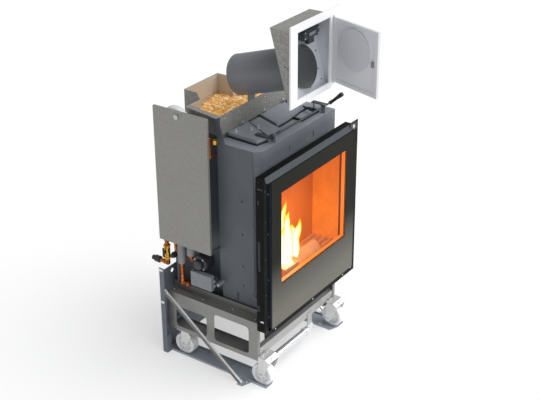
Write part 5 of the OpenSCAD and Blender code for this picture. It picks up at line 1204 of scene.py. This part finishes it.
class INSERT_OT_service(bpy.types.Operator):
    """Vessel, pump, terminal case, sleeves, fittings and lock of the service bay"""
    bl_idname = "insert.service"
    bl_label = "Service bay"

    def execute(self, context):
        self.vessel()
        self.pump()
        self.terminal()
        self.pipes()
        self.fittings()
        lock = [turned([(0, 0.0105), (0.0015, 0.0130), (0.004, 0.0130), (0.0052, 0.0115)],
                       (-0.3633, 0.158, 1.360), LEFT, 36),
                box_piece((-0.3692, 0.1555, 1.3515), (-0.3680, 0.1605, 1.3685), 0.0005)]
        mesh_piece("lock_face", joined(lock), "bright", "latch")
        vent = band((-0.329, -0.044, 1.279), UP, 0.0118, 0.0135, 0.002, 0.010, 12)
        mesh_piece("vent_cap", vent, "black_plastic", "carriage", smooth=False)
        return {"FINISHED"}

    @staticmethod
    def vessel():
        """The expansion vessel: two rounded shells joined by a rolled seam, and its bracket."""
        t = np.linspace(0, np.pi / 2, 8)
        rise = np.stack([0.016 - 0.016 * np.cos(t), 0.059 + 0.016 * np.sin(t)], 1)
        seam = [(0.0195, 0.075), (0.0205, 0.0765), (0.0235, 0.0765), (0.0245, 0.075)]
        fall = np.stack([0.028 + 0.016 * np.sin(t), 0.059 + 0.016 * np.cos(t)], 1)[:-1]
        shell = np.concatenate([[(0, 0.05)], rise, seam, fall, [(0.0438, 0.030), (0.044, 0.012)]])
        bracket = box_piece((-0.304, 0.180, 1.263), (-0.250, 0.200, 1.273), 0.0015)
        mesh_piece("vessel_shell", joined([turned(shell, (-0.304, 0.190, 1.322), LEFT, 72), bracket]),
                   "vessel", "carriage", "expansion_vessel")

    @staticmethod
    def pump():
        """The circulation pump's motor, a turned profile with six fins 10 mm apart, and its screws."""
        y, z, fins = 0.084, 0.560, []
        for k in range(6):
            s = 0.008 + k * 0.010
            fins += [(s, 0.0425), (s + 0.001, 0.046), (s + 0.005, 0.046), (s + 0.006, 0.0425)]
        body = [(0, 0.040), (0.004, 0.0425), *fins, (0.070, 0.044), (0.072, 0.041), (0.0722, 0.0276),
                (0.086, 0.0276), (0.092, 0.0255), (0.094, 0.022)]
        mesh_piece("pump_body", turned(body, (-0.250, y, z), LEFT), "module", "carriage",
                   "circulation_pump")
        spots = [(-0.3222, y + 0.035 * math.cos(a), z + 0.035 * math.sin(a))
                 for a in (0.6, 2.2, 3.9, 5.5)]
        screws("pump_screws", spots, LEFT, 0.0042, 0.003, "carriage", hexagon=True)

    @staticmethod
    def terminal():
        """The terminal case, its lid a hair apart from its body, and its cable glands."""
        low, high = corner("terminal_box", 0), corner("terminal_box", 1)
        mid, size = (low + high) / 2, high - low

        def on_side(a, b, c):
            return c + 0 * a, mid[1] + a, mid[2] + b

        case = [moulded(round_outline(size[1], size[2], 0.006), low[0] + 0.0105, high[0], 0.002,
                        on_side),
                moulded(round_outline(size[1] - 0.002, size[2] - 0.002, 0.006), low[0],
                        low[0] + 0.0100, 0.0025, on_side)]
        mesh_piece("terminal_case", joined(case), "casing_plastic", "carriage",
                   "terminal_box")
        glands = [turned([(0, 0.0085), (0.004, 0.0085), (0.0045, 0.0075), (0.010, 0.0072),
                          (0.012, 0.005)], (-0.332, low[1] + 0.0005, z), FRONT, 20)
                  for z in (0.470, 0.497)]
        mesh_piece("cable_glands", joined(glands), "casing_plastic", "carriage")

    @staticmethod
    def pipes():
        """Foam sleeves with pinched ends, solder collars, two bends and the mixer's knob."""
        x, sleeves = -0.319, []
        for y, z0, z1 in ((0.200, 0.530, 1.150), (0.138, 0.5925, 1.150)):
            end = [(0, 0.0125), (0.0005, 0.019), (0.004, 0.021), (0.012, 0.0205)]
            other = [(z1 - z0 - s, r) for s, r in end[::-1]]
            sleeves.append(turned(end + other, (x, y, z0), UP, 40))
        mesh_piece("foam_sleeves", joined(sleeves), "foam", "carriage",
                   "pipe_sleeves")
        rings = []
        for place, axis, r in (((x, 0.200, 0.436), UP, 0.0112), ((x, 0.186, 0.415), FRONT, 0.0112),
                               ((x, 0.295, 0.520), DOWN, 0.0112), ((x, 0.312, 0.502), REAR, 0.0112),
                               ((-0.329, 0.0, 1.262), UP, 0.0062)):
            start = np.array(place) - 0.006 * np.array(axis)
            rings.append(band(start, axis, r, r + 0.0022, 0.001, 0.012, 28))
        mesh_piece("solder_collars", joined(rings), "copper", "carriage")
        bends = [swept(rounded_path([(x, 0.138, 0.612), (x, 0.138, 0.572), (x, 0.124, 0.562)]), 0.0105),
                 swept(rounded_path([(-0.302, 0.250, 0.720), (-0.302, 0.250, 0.572),
                                     (-0.302, 0.242, 0.566)]), 0.0095)]
        mesh_piece("pipe_bends", joined(bends), "copper", "carriage")
        mixer = turned([(0, 0.012), (0.003, 0.0155), (0.016, 0.0165), (0.020, 0.0135), (0.030, 0.0125),
                        (0.033, 0.0100)], (-0.306, 0.250, 0.560), LEFT, 24)
        mesh_piece("mixer_knob", mixer, "black_plastic", "carriage")

    @staticmethod
    def fittings():
        """The valve's nuts and handle, and the water union's nut."""
        x, y = -0.319, 0.295
        nuts = [band((x, y, z), UP, 0.0185, 0.020, 0.002, 0.014, 6) for z in (0.5255, 0.593)]
        mesh_piece("valve_nuts", joined(nuts), "brass", "carriage", smooth=False)
        handle = [turned([(0, 0.007), (0.010, 0.007), (0.012, 0.006)], (-0.335, y, 0.570), LEFT, 20),
                  box_piece((-0.3505, 0.288, 0.545), (-0.3455, 0.302, 0.598), 0.002)]
        mesh_piece("valve_handle", joined(handle), "black_plastic", "carriage")
        union = turned([(0, 0.0165), (0.003, 0.0185), (0.008, 0.0185), (0.009, 0.0175),
                        (0.026, 0.0175), (0.028, 0.0165)], (x, 0.345, 0.502), REAR, 8)
        mesh_piece("union_nut", union, "lever", "carriage", smooth=False)


def stood(right, up, back, place=(0, 0, 0)):
    """The matrix of something whose own axes point right, up and back, at a place."""
    return Matrix([(right[i], up[i], back[i], place[i]) for i in range(3)] + [(0, 0, 0, 1)])


class INSERT_OT_stage(bpy.types.Operator):
    """Pale floor, two wide suns from the front, a pale sky and the camera"""
    bl_idname = "insert.stage"
    bl_label = "Stage"

    def execute(self, context):
        scene = context.scene
        side = 14.0
        mesh = bpy.data.meshes.new("floor")
        mesh.from_pydata([(-side, -side, 0), (side, -side, 0), (side, side, 0), (-side, side, 0)],
                         [], [(0, 1, 2, 3)])
        floor = bpy.data.objects.new("floor", mesh)
        scene.collection.objects.link(floor)
        f = Finish("Studio floor", (0.46, 0.46, 0.46), 0.7)
        f.feed("Base Color", f.colour)
        f.feed("Emission Color", (1, 1, 1))
        f.feed("Emission Strength", 0.5)
        mesh.materials.append(f.material)
        scene.world = bpy.data.worlds.new("Studio sky")
        scene.world.use_nodes = True
        sky = scene.world.node_tree.nodes["Background"]
        sky.inputs[0].default_value = (0.98, 0.99, 1.0, 1)
        sky.inputs[1].default_value = 0.42
        for name, to, strength in (("Key", (0.62, -0.72, 0.95), 1.6),
                                   ("Front", (0.05, -0.85, 1.05), 1.5)):
            data = bpy.data.lights.new(name, "SUN")
            data.energy, data.angle = strength, math.radians(60)
            lamp = bpy.data.objects.new(name, data)
            d, a, b = axes_of(to)
            lamp.matrix_world = stood(a, b, d)
            scene.collection.objects.link(lamp)
        scene.view_settings.view_transform = "Standard"
        self.camera(scene)
        return {"FINISHED"}

    @staticmethod
    def camera(scene):
        """The photograph's camera: turned from the Y axis by yaw, tipped down by pitch, then rolled."""
        yaw, pitch, roll = (math.radians(v) for v in (54.99, 27.04, -0.34))
        ahead = np.array([math.sin(yaw) * math.cos(pitch), math.cos(yaw) * math.cos(pitch),
                          -math.sin(pitch)])
        level = np.array([math.cos(yaw), -math.sin(yaw), 0])
        above = np.cross(level, ahead)
        data = bpy.data.cameras.new("Camera")
        data.lens, data.sensor_width, data.sensor_fit = 77.41, 36.0, "HORIZONTAL"
        camera = bpy.data.objects.new("Camera", data)
        camera.matrix_world = stood(math.cos(roll) * level + math.sin(roll) * above,
                                    -math.sin(roll) * level + math.cos(roll) * above, -ahead,
                                    (-4.267, -3.116, 3.507))
        scene.collection.objects.link(camera)
        scene.camera = camera


OPERATORS = (INSERT_OT_finishes, INSERT_OT_wheels, INSERT_OT_base, INSERT_OT_trolley,
             INSERT_OT_casing, INSERT_OT_deck, INSERT_OT_fire, INSERT_OT_door, INSERT_OT_hopper,
             INSERT_OT_hatch, INSERT_OT_service, INSERT_OT_stage)


class VIEW3D_PT_insert(bpy.types.Panel):
    """Lists the sizes, the colours and the operators of the insert"""
    bl_label = "Fireplace insert"
    bl_idname = "VIEW3D_PT_insert"
    bl_space_type = "VIEW_3D"
    bl_region_type = "UI"
    bl_category = "Insert"

    def draw(self, context):
        for group in (context.scene.insert_sizes, context.scene.insert_colours):
            box = self.layout.box()
            for key in type(group).__annotations__:
                box.prop(group, key)
        for operator in OPERATORS:
            self.layout.operator(operator.bl_idname)


CLASSES = (InsertSizes, InsertColours) + OPERATORS + (VIEW3D_PT_insert,)


def register():
    for cls in CLASSES:
        bpy.utils.register_class(cls)
    bpy.types.Scene.insert_sizes = PointerProperty(type=InsertSizes)
    bpy.types.Scene.insert_colours = PointerProperty(type=InsertColours)


def unregister():
    del bpy.types.Scene.insert_colours
    del bpy.types.Scene.insert_sizes
    for cls in reversed(CLASSES):
        bpy.utils.unregister_class(cls)


def main():
    register()
    for operator in OPERATORS:
        group, name = operator.bl_idname.split(".")
        getattr(getattr(bpy.ops, group), name)()


if __name__ == "__main__":
    main()
